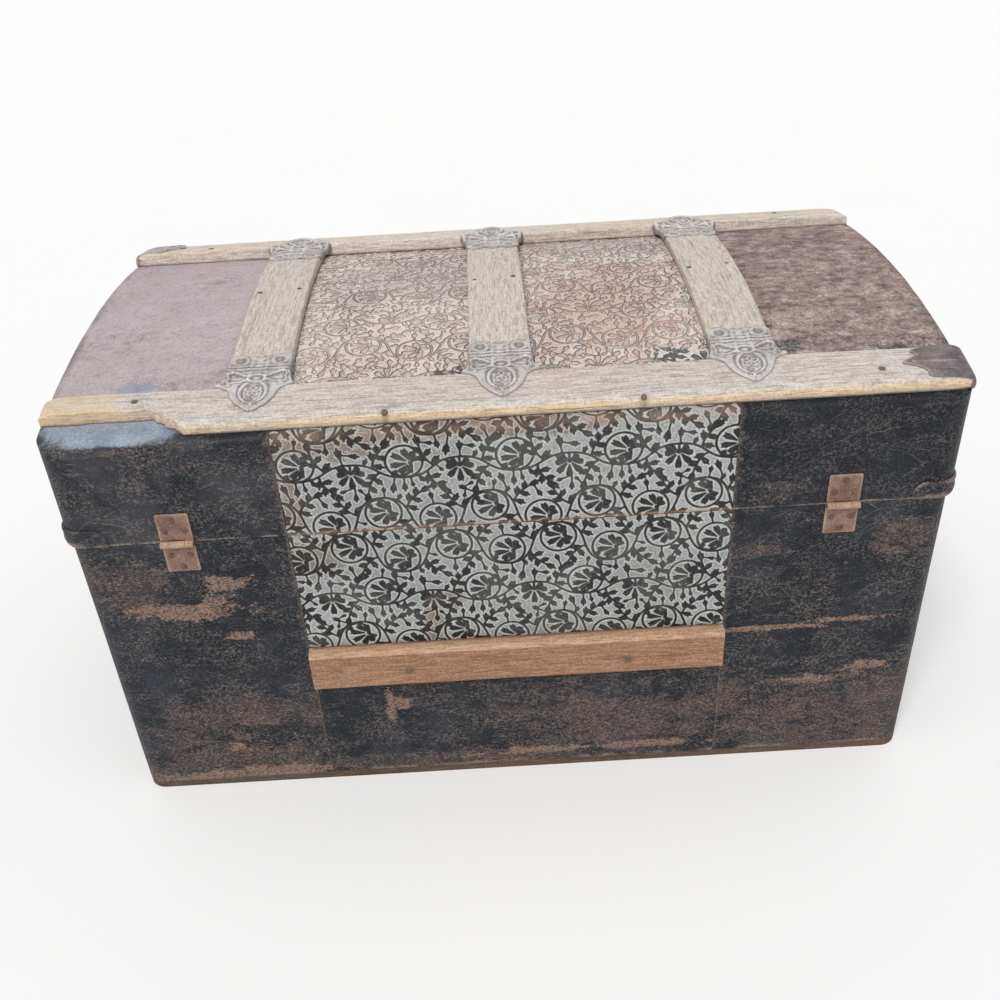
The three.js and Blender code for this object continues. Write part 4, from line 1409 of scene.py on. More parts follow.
    def sample(self, across: np.ndarray, up: np.ndarray) -> np.ndarray:
        """Reads distances anywhere on the repeated tile.

        Args:
            across: places along the tile's width.
            up: places along its height.

        Returns:
            The distances.
        """
        rows, columns = self.distances.shape
        x = across / self.step
        y = up / self.step
        left, below = np.floor(x).astype(int), np.floor(y).astype(int)
        part_x, part_y = x - left, y - below
        total = np.zeros(np.broadcast(x, y).shape)
        for add_x in (0, 1):
            for add_y in (0, 1):
                weight = (part_x if add_x else 1 - part_x) * (part_y if add_y else 1 - part_y)
                total = total + weight * self.distances[(below + add_y) % rows, (left + add_x) % columns]
        return total


def dents(points: np.ndarray, seed: int, wide: float = 0.4, close: float = 0.1) -> np.ndarray:
    """Shallow dents of old sheet metal, as deep as wide in the broad waves and as close in the small ones."""
    return wide * smooth_noise(points / 85, seed) + close * smooth_noise(points / 23, seed + 1)


def end_path(
    half_length: float, start_x: float, last_y: float, form: TrunkForm,
) -> tuple[np.ndarray, np.ndarray]:
    """Follows the plan from the back face round a corner on to the end.

    Args:
        half_length: half the length of the body or lid.
        start_x: where the path starts on the back face.
        last_y: where it stops on the end.
        form: the trunk's sizes.

    Returns:
        Points and outward normals in plan.
    """
    turn_x = half_length - form.corner
    turn_y = form.half_depth - form.corner
    straight = np.linspace(start_x, turn_x, 33)[:-1]
    angles = np.linspace(0, math.pi / 2, 11)
    end = np.linspace(turn_y, last_y, max(3, int((turn_y - last_y) / 6)))[1:]
    points = [(x, form.half_depth) for x in straight]
    normals = [(0.0, 1.0)] * len(straight)
    for angle in angles:
        normals.append((math.sin(angle), math.cos(angle)))
        points.append((turn_x + form.corner * math.sin(angle), turn_y + form.corner * math.cos(angle)))
    points += [(half_length, y) for y in end]
    normals += [(1.0, 0.0)] * len(end)
    return np.array(points), np.array(normals)


def mirrored(path: np.ndarray, normals: np.ndarray) -> tuple[np.ndarray, np.ndarray]:
    """Carries a path on from its last point at Y 0 round to the other face."""
    turn = np.array([1, -1])
    return np.concatenate([path, path[-2::-1] * turn]), np.concatenate([normals, normals[-2::-1] * turn])


def edged(low: float, high: float, count: int) -> np.ndarray:
    """Even places from low to high, with closer ones beside both ends."""
    close = np.array([0.7, 1.4, 2.4, 3.8])
    return np.unique(np.round(np.concatenate([np.linspace(low, high, count), low + close, high - close]), 3))


def seam_wear(height: np.ndarray, edge: float, reach: float) -> np.ndarray:
    """Wear beside an edge at a height."""
    return ease(np.abs(height - edge), reach, 0)


@dataclass
class BodySheets:
    """The body's cladding: end sheets round the corners, embossed panels over plain ones."""

    ends: Japanned
    lower: Japanned
    embossed: Embossed
    vine: VineTile
    form: TrunkForm = FORM
    grid_step: float = 1.2
    groove: float = 0.55
    joint: float = 175.0

    def end_sheet(self, end: End) -> None:
        """Builds the sheet that wraps one end.

        Args:
            end: which end.
        """
        form = self.form
        path, normals = mirrored(*end_path(form.body_half, form.panel_half + form.half_joint, 0.0, form))
        heights = edged(form.foot, form.body_top, 46)
        grid = np.zeros((len(path), len(heights), 3))
        grid[..., :2] = path[:, None, :]
        grid[..., 2] = heights
        outward = np.concatenate([normals, np.zeros((len(path), 1))], axis=1)
        flat = np.repeat(outward[:, None, :], len(heights), axis=1)
        shift = dents(grid + 40 * end.value, 11)
        lap = form.lap(path[:, 0])
        shift = shift + form.lap_lift * lap
        rim = np.maximum(
            0.2 * seam_wear(grid[..., 2], form.body_top, 2.6), seam_wear(grid[..., 2], form.foot, 9),
        )
        bend = np.abs(normals[:, 0] * normals[:, 1])[:, None] * 2
        worn = np.maximum(rim, 0.45 * bend) * patchy(grid, 14, 5, 0.6)
        worn = np.maximum(worn, 0.5 * lap)
        grid = grid + flat * shift[..., None]
        grid[..., 0] *= end.value
        outward[:, 0] *= end.value
        draft = MeshDraft()
        dense_sheet(draft, grid, -outward * form.sheet_depth, worn=np.clip(worn, 0, 1))
        draft.settle(
            f"body_end_{end.word}_cladding", self.ends, Body.BODY, Slot.BLACK,
            f"body_end_sheet_{end.word}",
        )

    def upper_panel(self, face: Face) -> None:
        """Builds the embossed panel over the slat.

        Args:
            face: which long face.
        """
        form = self.form
        half = form.panel_half - form.half_joint
        low = self.joint + form.half_joint
        across = np.linspace(-half, half, round(2 * half / self.grid_step))
        up = np.linspace(low, form.body_top, round((form.body_top - low) / self.grid_step))
        x, z = np.meshgrid(across, up)
        distance = self.vine.sample(-x * face.value + 31, z + 47)
        y = form.half_depth - self.groove * ease(distance, 0.7, -0.5) + 0.1 * ease(distance, 2.0, 0.8)
        y = y + dents(joined(x, x * 0, z), 21 + face.value, 0.25, 0.05) * 0.6
        grid = joined(x, y * face.value, z)
        worn = 0.4 * seam_wear(z, form.body_top, 3) * patchy(grid, 11, 8, 0.7)
        draft = MeshDraft()
        inward = np.tile([0.0, -face.value * form.sheet_depth, 0.0], (len(up), 1))
        dense_sheet(draft, grid, inward, vine=distance, worn=np.clip(worn, 0, 1))
        draft.settle(
            f"body_{face.word}_embossed_panel", self.embossed, Body.BODY, Slot.EMBOSSED,
            f"body_{face.word}_panel_upper", sharp=75,
        )

    def lower_panel(self, face: Face) -> None:
        """Builds the plain panel under and below the slat.

        Args:
            face: which long face.
        """
        form = self.form
        half = form.panel_half - form.half_joint
        high = self.joint - form.half_joint
        x, z = np.meshgrid(np.linspace(-half, half, 90), np.linspace(form.foot, high, 36))
        points = joined(x, x * 0, z)
        y = form.half_depth + dents(points, 31 + face.value, 0.3, 0.1)
        grid = joined(x, y * face.value, z)
        worn = seam_wear(z, form.foot, 9) * patchy(grid, 14, 6, 0.6)
        inward = np.tile([0.0, -face.value * form.sheet_depth, 0.0], (len(z), 1))
        draft = MeshDraft()
        dense_sheet(draft, grid, inward, worn=np.clip(worn, 0, 1))
        draft.settle(
            f"body_{face.word}_plain_panel", self.lower, Body.BODY, Slot.BLACK,
            f"body_{face.word}_panel_lower",
        )

    def build(self) -> None:
        """Builds all of the body's cladding."""
        for end in End:
            self.end_sheet(end)
        for face in Face:
            self.upper_panel(face)
            self.lower_panel(face)


@dataclass
class LidSheets:
    """The lid's cladding: wall sheets turned over the shoulders, and three sheets over the dome."""

    ends: dict[End, Japanned]
    embossed: Embossed
    crown: Embossed
    plain: dict[End, Rusted]
    vine: VineTile
    form: TrunkForm = FORM
    grid_step: float = 1.2
    crown_step: float = 1.4
    groove: float = 0.55

    def shoulder_patch(self, end: End, face: Face, draft: MeshDraft) -> None:
        """Adds the part of an end sheet on one long face, round its corner and over its shoulder.

        Args:
            end: which end.
            face: which long face.
            draft: the piece that it joins.
        """
        form = self.form
        path, normals = end_path(form.lid_half, form.panel_half + form.half_joint, form.shoulder_line, form)
        top = form.skin(path[:, 1])
        rises = edged(0, 111, 22) / 111
        wall = np.zeros((len(path), len(rises), 3))
        wall[..., :2] = path[:, None]
        wall[..., 2] = form.lid_bottom + (top[:, None] - form.lid_bottom) * rises
        turn_x = form.lid_half - form.corner
        beyond = np.clip(np.arange(len(path)) - 32, 0, None) / (len(path) - 33)
        inner_x = np.where(path[:, 0] <= turn_x, path[:, 0], turn_x + (form.corner - 1) * beyond)
        inner = joined(inner_x, np.full(len(path), form.shoulder_line + form.half_joint))
        shares = np.array([0.012, 0.03, 0.06, 0.1, 0.15, 0.2, 0.3, 0.42, 0.56, 0.7, 0.85, 1.0])
        flange = np.zeros((len(path), len(shares), 3))
        flange[..., :2] = path[:, None] + (inner - path)[:, None] * shares[None, :, None]
        flange[..., 2] = form.skin(flange[..., 1])
        grid = np.concatenate([wall, flange], axis=1)
        points = grid * np.array([end.value, face.value, 1])
        shift = dents(points + 60, 41, 0.45, 0.12)
        lap = form.lap(path[:, 0])
        normal = grid_normals(grid)
        middle = np.array([turn_x - 60, 60.0, form.seam + 20])
        facing = np.sign(np.sum(normal * (grid - middle), axis=2, keepdims=True))
        normal = normal * facing
        worn = 1.2 * seam_wear(grid[..., 2], form.lid_bottom, 4.2)
        crest = ease(np.abs(grid[..., 2] - top[:, None]), 7, 1) * ease(
            grid[..., 1], form.half_depth - 12, form.half_depth - 3,
        )
        bend = np.abs(normals[:, 0] * normals[:, 1])[:, None] * 2
        worn = np.maximum(worn, np.maximum(0.5 * crest, 0.4 * bend))
        worn = worn * patchy(points, 13, 7, 0.65)
        worn = np.maximum(worn, 0.5 * lap)
        outer = grid + normal * (shift + form.lap_lift * lap)[..., None]
        under = grid - normal * (form.sheet + 0.1)
        turn = np.array([end.value, face.value, 1])
        closed_plate(draft, outer * turn, under * turn, worn=np.clip(worn, 0, 1))

    def end_sheet(self, end: End) -> None:
        """Builds the sheet that wraps one end of the lid.

        Args:
            end: which end.
        """
        form = self.form
        draft = MeshDraft()
        for face in Face:
            self.shoulder_patch(end, face, draft)
        line = form.shoulder_line
        y, share = np.meshgrid(np.linspace(-line, line, 70), np.linspace(0, 1, 24))
        top = form.skin(y) - 1.25
        z = form.lid_bottom + (top - form.lid_bottom) * share
        flat = joined(np.full_like(y, form.lid_half), y, z)
        shift = dents(flat * np.array([end.value, 1, 1]) + 60, 41, 0.45, 0.12)
        worn = np.maximum(seam_wear(z, form.lid_bottom, 5), ease(top - z, 6, 0))
        worn = worn * patchy(flat, 13, 7, 0.65)
        turn = np.array([end.value, 1, 1])
        outer = flat + joined(shift, shift * 0, shift * 0)
        under = flat - np.array([form.sheet, 0, 0])
        closed_plate(draft, outer * turn, under * turn, worn=np.clip(worn, 0, 1))
        draft.settle(
            f"lid_end_{end.word}_cladding", self.ends[end], Body.LID, Slot.BLACK,
            f"lid_end_sheet_{end.word}",
        )

    def wall_profile(self) -> np.ndarray:
        """The (Y, Z) of a wall panel from the seam over the shoulder, in even steps."""
        form = self.form
        low = form.crease - form.shoulder_bend
        over = np.concatenate([
            form.half_depth - form.shoulder_bend * np.linspace(0, 1, 40)[1:] ** 2,
            np.linspace(form.half_depth - form.shoulder_bend, form.shoulder_line + form.half_joint, 60)[1:],
        ])
        wall = np.array([[form.half_depth, z] for z in np.linspace(form.lid_bottom, low, 120)])
        path = np.concatenate([wall, joined(over, form.skin(over))])
        length = np.concatenate([[0], np.cumsum(np.linalg.norm(np.diff(path, axis=0), axis=1))])
        even = np.linspace(0, length[-1], round(length[-1] / self.grid_step))
        return joined(np.interp(even, length, path[:, 0]), np.interp(even, length, path[:, 1]), even)

    def wall_panel(self, face: Face) -> None:
        """Builds an embossed wall panel.

        Args:
            face: which long face.
        """
        form = self.form
        profile = self.wall_profile()
        half = form.panel_half - form.half_joint
        across = np.linspace(-half, half, round(2 * half / self.grid_step))
        slope = np.gradient(profile[:, :2], axis=0)
        normal = joined(slope[:, 1], -slope[:, 0])
        normal = normal / np.linalg.norm(normal, axis=1, keepdims=True)
        x = np.tile(across, (len(profile), 1))
        distance = self.vine.sample(-x * face.value + 96, profile[:, 2:3] + 14)
        bare = joined(x, x * 0, np.repeat(profile[:, 2:3], len(across), axis=1))
        shift = 0.1 * ease(distance, 2.0, 0.8) - self.groove * ease(distance, 0.7, -0.5)
        shift = shift + 0.6 * dents(bare, 51 + face.value, 0.3, 0.06)
        y = profile[:, 0:1] + shift * normal[:, 0:1]
        z = profile[:, 1:2] + shift * normal[:, 1:2]
        grid = joined(x, y * face.value, z)
        worn = np.maximum(1.2 * seam_wear(z, form.lid_bottom, 4.5), 0.55 * seam_wear(z, form.crease - 2, 9))
        worn = worn * patchy(grid, 11, 9, 0.6, 0.7)
        thick = form.sheet_depth
        inward = joined(normal[:, 0] * 0, -normal[:, 0] * thick * face.value, -normal[:, 1] * thick)
        draft = MeshDraft()
        dense_sheet(draft, grid, inward, vine=distance, worn=np.clip(worn, 0, 1))
        draft.settle(
            f"lid_{face.word}_embossed_panel", self.embossed, Body.LID, Slot.EMBOSSED,
            f"lid_{face.word}_panel", sharp=75,
        )

    def dome_grid(self, low_x: float, high_x: float, step: float) -> tuple[np.ndarray, np.ndarray]:
        """Lays even points over the dome between the shoulders.

        Args:
            low_x: the lower end along the length.
            high_x: the upper end.
            step: the distance between points.

        Returns:
            The X and the run of each point, as grids.
        """
        form = self.form
        line = form.radius * math.asin((form.shoulder_line - form.half_joint) / form.radius)
        across = np.linspace(low_x, high_x, max(2, round((high_x - low_x) / step)))
        runs = np.linspace(-line, line, round(2 * line / step))
        return np.meshgrid(across, runs)

    def crown_sheet(self) -> None:
        """Builds the embossed sheet in the middle of the dome."""
        form = self.form
        half = form.cross_pitch - form.half_joint
        x, run = self.dome_grid(-half, half, self.crown_step)
        distance = self.vine.sample(-x + 60, run + 33)
        points = joined(x, run, x * 0)
        shift = 0.3 * ease(distance, 2.4, 0.9) - 0.9 * ease(distance, 0.9, -0.8)
        shift = shift + dents(points, 61, 0.5, 0.15)
        y, z = form.over_dome(run, shift)
        draft = MeshDraft()
        way_y, way_z = form.over_dome(run[:, 0], np.full(len(run), -form.sheet_depth))
        inward = joined(y[:, 0] * 0, way_y - y[:, 0], way_z - z[:, 0])
        dense_sheet(draft, joined(x, y, z), inward, vine=distance)
        draft.settle(
            "lid_dome_embossed_sheet", self.crown, Body.LID, Slot.EMBOSSED_TOP, "lid_top_sheet_centre",
            sharp=75,
        )

    def side_sheet(self, end: End) -> None:
        """Builds a plain rusted sheet at one end of the dome.

        Args:
            end: which end.
        """
        form = self.form
        x, run = self.dome_grid(form.cross_pitch + form.half_joint, form.lid_half, 4.0)
        points = joined(x * end.value, run, x * 0)
        edge = ease(x, form.lid_half - 5, form.lid_half)
        shift = dents(points, 71, 0.7, 0.25) - 0.9 * edge * edge
        y, z = form.over_dome(run, shift)
        x = x + 0.5 * edge
        worn = ease(x, form.lid_half - 9, form.lid_half - 1) * patchy(points, 12, 3, 0.7)
        way_y, way_z = form.over_dome(run[:, 0], np.full(len(run), -form.sheet_depth))
        flat_y, flat_z = form.over_dome(run[:, 0], np.zeros(len(run)))
        inward = joined(flat_y * 0, way_y - flat_y, way_z - flat_z)
        draft = MeshDraft()
        dense_sheet(draft, joined(x * end.value, y, z), inward, worn=np.clip(worn, 0, 1))
        draft.settle(
            f"lid_dome_{end.word}_sheet", self.plain[end], Body.LID, Slot.RUSTY,
            f"lid_top_sheet_{end.word}",
        )

    def build(self) -> None:
        """Builds all of the lid's cladding."""
        for end in End:
            self.end_sheet(end)
            self.side_sheet(end)
        for face in Face:
            self.wall_panel(face)
        self.crown_sheet()


def bar_section(
    low: float, high: float, floor: float, top: float, low_round: float, high_round: float,
) -> tuple[np.ndarray, np.ndarray]:
    """Outlines a bar with two rounded upper edges.

    Args:
        low: its edge with the small round.
        high: its other edge.
        floor: its underside.
        top: its top.
        low_round: radius at the low edge.
        high_round: radius at the high edge.

    Returns:
        The outline's points, and for each how far it lies on the high edge's round, from 0 to 1.
    """
    points: list[Point2] = [(low, height) for height in np.linspace(floor, top - low_round, 5)[:-1]]
    low_centre, high_centre = (low + low_round, top - low_round), (high - high_round, top - high_round)
    points += [ahead(low_centre, low_round, turn) for turn in np.linspace(math.pi, math.pi / 2, 6)]
    flat = np.linspace(low + low_round, high - high_round, 30)[1:-1]
    points += [(value, top) for value in flat]
    points += [ahead(high_centre, high_round, turn) for turn in np.linspace(math.pi / 2, 0, 10)]
    points += [(high, height) for height in np.linspace(top - high_round, floor, 6)[1:]]
    points += [(value, floor) for value in np.linspace(high, low, 6)[1:-1]]
    edge = [0.0] * 10 + list(ease((flat - low) / (high - low), 0.75, 1.0) * 0.5)
    edge += [1.0] * 10 + [0.9, 0.8, 0.6, 0.4, 0.3] + [0.2] * 4
    return np.array(points), np.array(edge)


def outline_normals(section: np.ndarray) -> np.ndarray:
    """Unit normals that point out of a closed outline drawn clockwise."""
    slope = np.roll(section, -1, axis=0) - np.roll(section, 1, axis=0)
    normal = joined(-slope[:, 1], slope[:, 0])
    return normal / np.maximum(np.linalg.norm(normal, axis=1, keepdims=True), 1e-9)


def carve(
    along: np.ndarray, across: np.ndarray, seed: int, wave: float = 0.45, cut: float = 0.2,
) -> np.ndarray:
    """Unevenness of old wood, long in the grain's direction.

    Args:
        along: places along the grain.
        across: places round the section.
        seed: picks the pattern.
        wave: depth of the broad waves.
        cut: depth of the fine furrows.

    Returns:
        How far each place stands out.
    """
    broad = noise_at(seed, along / 130, across / 15, 0)
    furrow = np.minimum(noise_at(seed + 1, along / 38, across / 1.7, 0), 0.25)
    chips = noise_at(seed + 2, along / 16, across / 6, 0)
    return wave * broad + cut * furrow - 0.5 * ease(chips, 0.55, 0.95)


def nose(distance: np.ndarray | float, reach: float = 22.0) -> np.ndarray:
    """Share of a slat's thickness left near its rounded end."""
    away = 1 - np.clip(np.asarray(distance, float) / reach, 0, 1)
    return 0.5 + 0.5 * np.sqrt(1 - away**2)


def nosed(along: np.ndarray, section: np.ndarray, limit: float, form: TrunkForm) -> np.ndarray:
    """Rounds a slat's section where it comes to the slat's end.

    Args:
        along: each point's place along the slat, measured outward.
        section: its run and height.
        limit: where the slat ends.
        form: the trunk's sizes.

    Returns:
        The points as place, run and height.
    """
    left = nose(limit - along)
    middle = (form.inner_run + form.outer_run) / 2
    run = middle + (section[:, 0] - middle) * (0.84 + 0.16 * (2 * left - 1))
    height = form.fit + (section[:, 1] - form.fit) * left
    return joined(along, run, height)


@dataclass
class LidSlats:
    """The two long slats on the lid's shoulders, one of them split at an end."""

    wood: dict[Face, Wood]
    form: TrunkForm = FORM
    outer_round: float = 8.0
    inner_round: float = 2.0
    break_length: float = 107.0
    break_width: float = 24.0
    break_taper: float = 32.0
    nails: tuple[Point2, ...] = ((109, -2), (-129, -2), (345, -36), (-352, -20))

    def outer_limit(self, x: np.ndarray, face: Face) -> np.ndarray:
        """Where the slat's outer edge runs at each place along it.

        Args:
            x: places along the slat.
            face: which slat; only the rear one is split.

        Returns:
            The run of its outer edge.
        """
        whole = np.full_like(x, self.form.outer_run)
        if face is Face.FRONT:
            return whole
        step = self.form.lid_half - self.break_length
        share = np.clip((step - x) / self.break_taper, 0, 1)
        width = np.interp(share, [0, 0.12, 0.38, 0.42, 0.7, 1], [0, 0.22, 0.3, 0.5, 0.62, 1])
        ragged = 0.9 * noise_at(77, x / 9, 0, 0.5)
        return self.form.outer_run - self.break_width * (1 - width) + np.where(width < 1, ragged, 0)

    def slat(self, face: Face) -> None:
        """Builds one long slat.

        Args:
            face: which long face it lies over.
        """
        form = self.form
        half = form.lid_half
        even = np.arange(-half, half, 3.0)
        close = np.arange(half - self.break_length - self.break_taper - 6, half - self.break_length + 6, 0.8)
        tips = half - np.array([0, 0.3, 0.8, 1.6, 2.6, 3.8, 5.2, 7.0, 9.0, 12.5])
        stations = np.unique(np.round(np.concatenate([even, close, tips, -tips]), 2))
        limits = self.outer_limit(stations, face)
        sections, worn, nail, dirt = [], [], [], []
        top = form.fit + form.slat_thickness
        for x, limit in zip(stations, limits):
            whole = float(ease(limit, form.outer_run - 5, form.outer_run))
            rounding = 0.7 + (self.outer_round - 0.7) * whole
            outline, edge = bar_section(form.inner_run, limit, form.fit, top, self.inner_round, rounding)
            normal = outline_normals(outline)
            place = np.full(len(outline), x)
            round_way = way_along(outline)
            depth = carve(place, round_way, 81 + face.value)
            fibre = 0.6 * noise_at(83, place / 3, round_way / 1.2, 0)
            depth = depth + (1 - whole) * fibre * (edge > 0.25)
            depth = depth * ease(outline[:, 1], form.fit, form.fit + 2)
            moved = outline + normal * depth[:, None]
            moved = nosed(np.abs(place), moved, half, form)[:, 1:]
            y, z = form.over_dome(moved[:, 0], moved[:, 1])
            sections.append(joined(place, y * face.value, z))
            # The outer rounded edge is painted lighter: worn wood with a painted highlight.
            lower = 0.15 + 0.85 * ease(outline[:, 1], top - 1.0, top - 5.5)
            rubbed_and_highlight = edge * (0.75 + 0.25 * whole) * lower + (1 - whole) * 0.7 * (edge > 0.25)
            tip = float(ease(half - abs(x), 7, 0)) * 0.6
            worn.append(np.clip(rubbed_and_highlight + tip, 0, 1))
            gaps = [np.hypot(place - nx, outline[:, 0] - (form.outer_run + ny)) for nx, ny in self.nails]
            nail.append(ease(np.min(gaps, axis=0), 5.0, 2.0))
            # Darker towards the slat's foot on the sheet: painted shade with some dirt.
            dirt.append(ease(outline[:, 1], 3.5, 0.3))
        draft = MeshDraft()
        loft(draft, np.array(sections), worn=np.array(worn), nail=np.array(nail), dirt=np.array(dirt))
        draft.settle(
            f"lid_{face.word}_slat_wood", self.wood[face], Body.LID, Slot.SLAT, f"lid_slat_{face.word}",
            sharp=50,
        )

    def build(self) -> None:
        """Builds both long slats."""
        for face in Face:
            self.slat(face)


@dataclass
class CrossSlats:
    """The three slats bent over the dome between the long ones."""

    wood: Wood
    form: TrunkForm = FORM
    rounding: float = 2.6

    def build(self) -> None:
        """Builds the three slats."""
        form = self.form
        end = form.inner_run - form.fit
        runs = np.linspace(-end, end, 150)
        half = form.cross_width / 2
        for index, cross in enumerate(Cross):
            thick = form.fit + form.cross_thickness
            outline, edge = bar_section(-half, half, form.fit, thick, self.rounding, self.rounding)
            edge = np.maximum(edge, ease(np.abs(outline[:, 0]), half - 6, half))
            normal = outline_normals(outline)
            run, way = np.meshgrid(runs, way_along(outline), indexing="ij")
            depth = carve(run, way, 91 + index, 0.5, 0.2)
            depth = depth * ease(outline[:, 1], form.fit, form.fit + 2)
            moved = outline[None] + normal[None] * depth[..., None]
            y, z = form.over_dome(run, moved[..., 1])
            x = moved[..., 0] + cross.value * form.cross_pitch
            worn = np.tile(edge * 0.5, (len(runs), 1)) * (0.7 + 0.5 * noise_at(93, x / 20, run / 30, 0))
            # Darker towards the slat's foot on the sheet: painted shade with some dirt.
            dirt = np.tile(ease(outline[:, 1], 3.5, 0.3), (len(runs), 1))
            draft = MeshDraft()
            loft(draft, joined(x, y, z), worn=np.clip(worn, 0, 1), dirt=dirt)
            draft.settle(
                f"lid_{cross.word}_cross_slat_wood", self.wood, Body.LID, Slot.SLAT,
                f"lid_cross_slat_{cross.word}",
                sharp=50,
            )


@dataclass
class BodySlats:
    """The slat across the middle of each long face of the body."""

    wood: Wood
    form: TrunkForm = FORM
    thickness: float = 14.0
    rounding: float = 5.0
    nails: tuple[Point2, ...] = ((114, 172), (-116, 168))

    def build(self) -> None:
        """Builds the back and front slats."""
        form = self.form
        inner = form.half_depth + form.fit
        low = form.slat_top - form.slat_height
        outline, edge = bar_section(low, form.slat_top, 0, self.thickness, self.rounding, self.rounding)
        stations = np.linspace(-form.panel_half, form.panel_half, 160)
        normal = outline_normals(outline)
        for face in Face:
            x, way = np.meshgrid(stations, way_along(outline), indexing="ij")
            depth = carve(x, way, 101 + face.value, 0.5, 0.22) * ease(outline[:, 1], 0, 2)
            moved = outline[None] + normal[None] * depth[..., None]
            grid = joined(x, (inner + moved[..., 1]) * face.value, moved[..., 0])
            # Lighter towards and on the upper rounded edge: worn wood with a painted highlight.
            tip = ease(form.panel_half - np.abs(x), 6, 0) * 0.5
            worn = np.clip(np.tile(edge * 0.9, (len(stations), 1)) + tip, 0, 1)
            gaps = [np.hypot(x - nx, moved[..., 0] - nz) for nx, nz in self.nails]
            nail = ease(np.min(gaps, axis=0), 8, 2) * (outline[:, 1] > 4)
            # Darker at the slat's foot and along its underside: painted shade with some dirt.
            dirt = np.tile(ease(outline[:, 1], 3, 0), (len(stations), 1))
            dirt = np.maximum(dirt, ease(moved[..., 0], low + 3, low) * 0.5)
            draft = MeshDraft()
            loft(draft, grid, worn=worn, nail=nail, dirt=dirt)
            draft.settle(
                f"body_{face.word}_slat_wood", self.wood, Body.BODY, Slot.SLAT, f"body_slat_{face.word}",
                sharp=50,
            )


def add_head(
    draft: MeshDraft, place: Sequence[float], normal: Sequence[float], radius: float, height: float,
    rubbed_and_highlight: float = 1.0,
) -> None:
    """Adds a nail or rivet head.

    Args:
        draft: the piece that it joins.
        place: where it sits, on the surface.
        normal: the way it points.
        radius: its radius.
        height: how far it stands up.
        rubbed_and_highlight: how light its top is painted, wear with a painted highlight, from 0 for a dark
            head.
    """
    out = Vector(normal).normalized()
    side = out.orthogonal().normalized()
    other = out.cross(side)
    around = 14
    rings = ((1.0, -0.35), (1.0, 0.12), (0.88, 0.48), (0.6, 0.82), (0.28, 0.97))
    points = []
    for share, rise in rings:
        for index in range(around):
            angle = TAU * index / around
            reach = radius * share * (1 + 0.04 * math.sin(3 * angle + place[0]))
            offset = side * (math.cos(angle) * reach) + other * (math.sin(angle) * reach)
            points.append(Vector(place) + (offset + out * (rise * height)))
    points.append(Vector(place) + out * height)
    faces = grid_faces(len(rings), around, around=True)
    last = (len(rings) - 1) * around
    faces += [(last + index, last + (index + 1) % around, len(points) - 1) for index in range(around)]
    faces.append(tuple(reversed(range(around))))
    # Lighter towards the top of the head, a painted highlight; darker round its foot, painted shade.
    proud = [0.2] * around + [0.35] * around + [0.6] * around + [0.8] * around + [1.0] * (around + 1)
    hollow = [0.8] * around + [0.35] * around + [0.0] * (3 * around + 1)
    proud = np.array(proud) * rubbed_and_highlight
    hollow = np.maximum(np.array(hollow), 0.85 * (1 - rubbed_and_highlight))
    draft.add(np.array([list(point) for point in points]), faces, proud=proud, hollow=hollow)


def ridge(away: np.ndarray, width: float) -> np.ndarray:
    """A rounded ridge, 1 where away is 0."""
    return np.exp(-((away / width) ** 2))


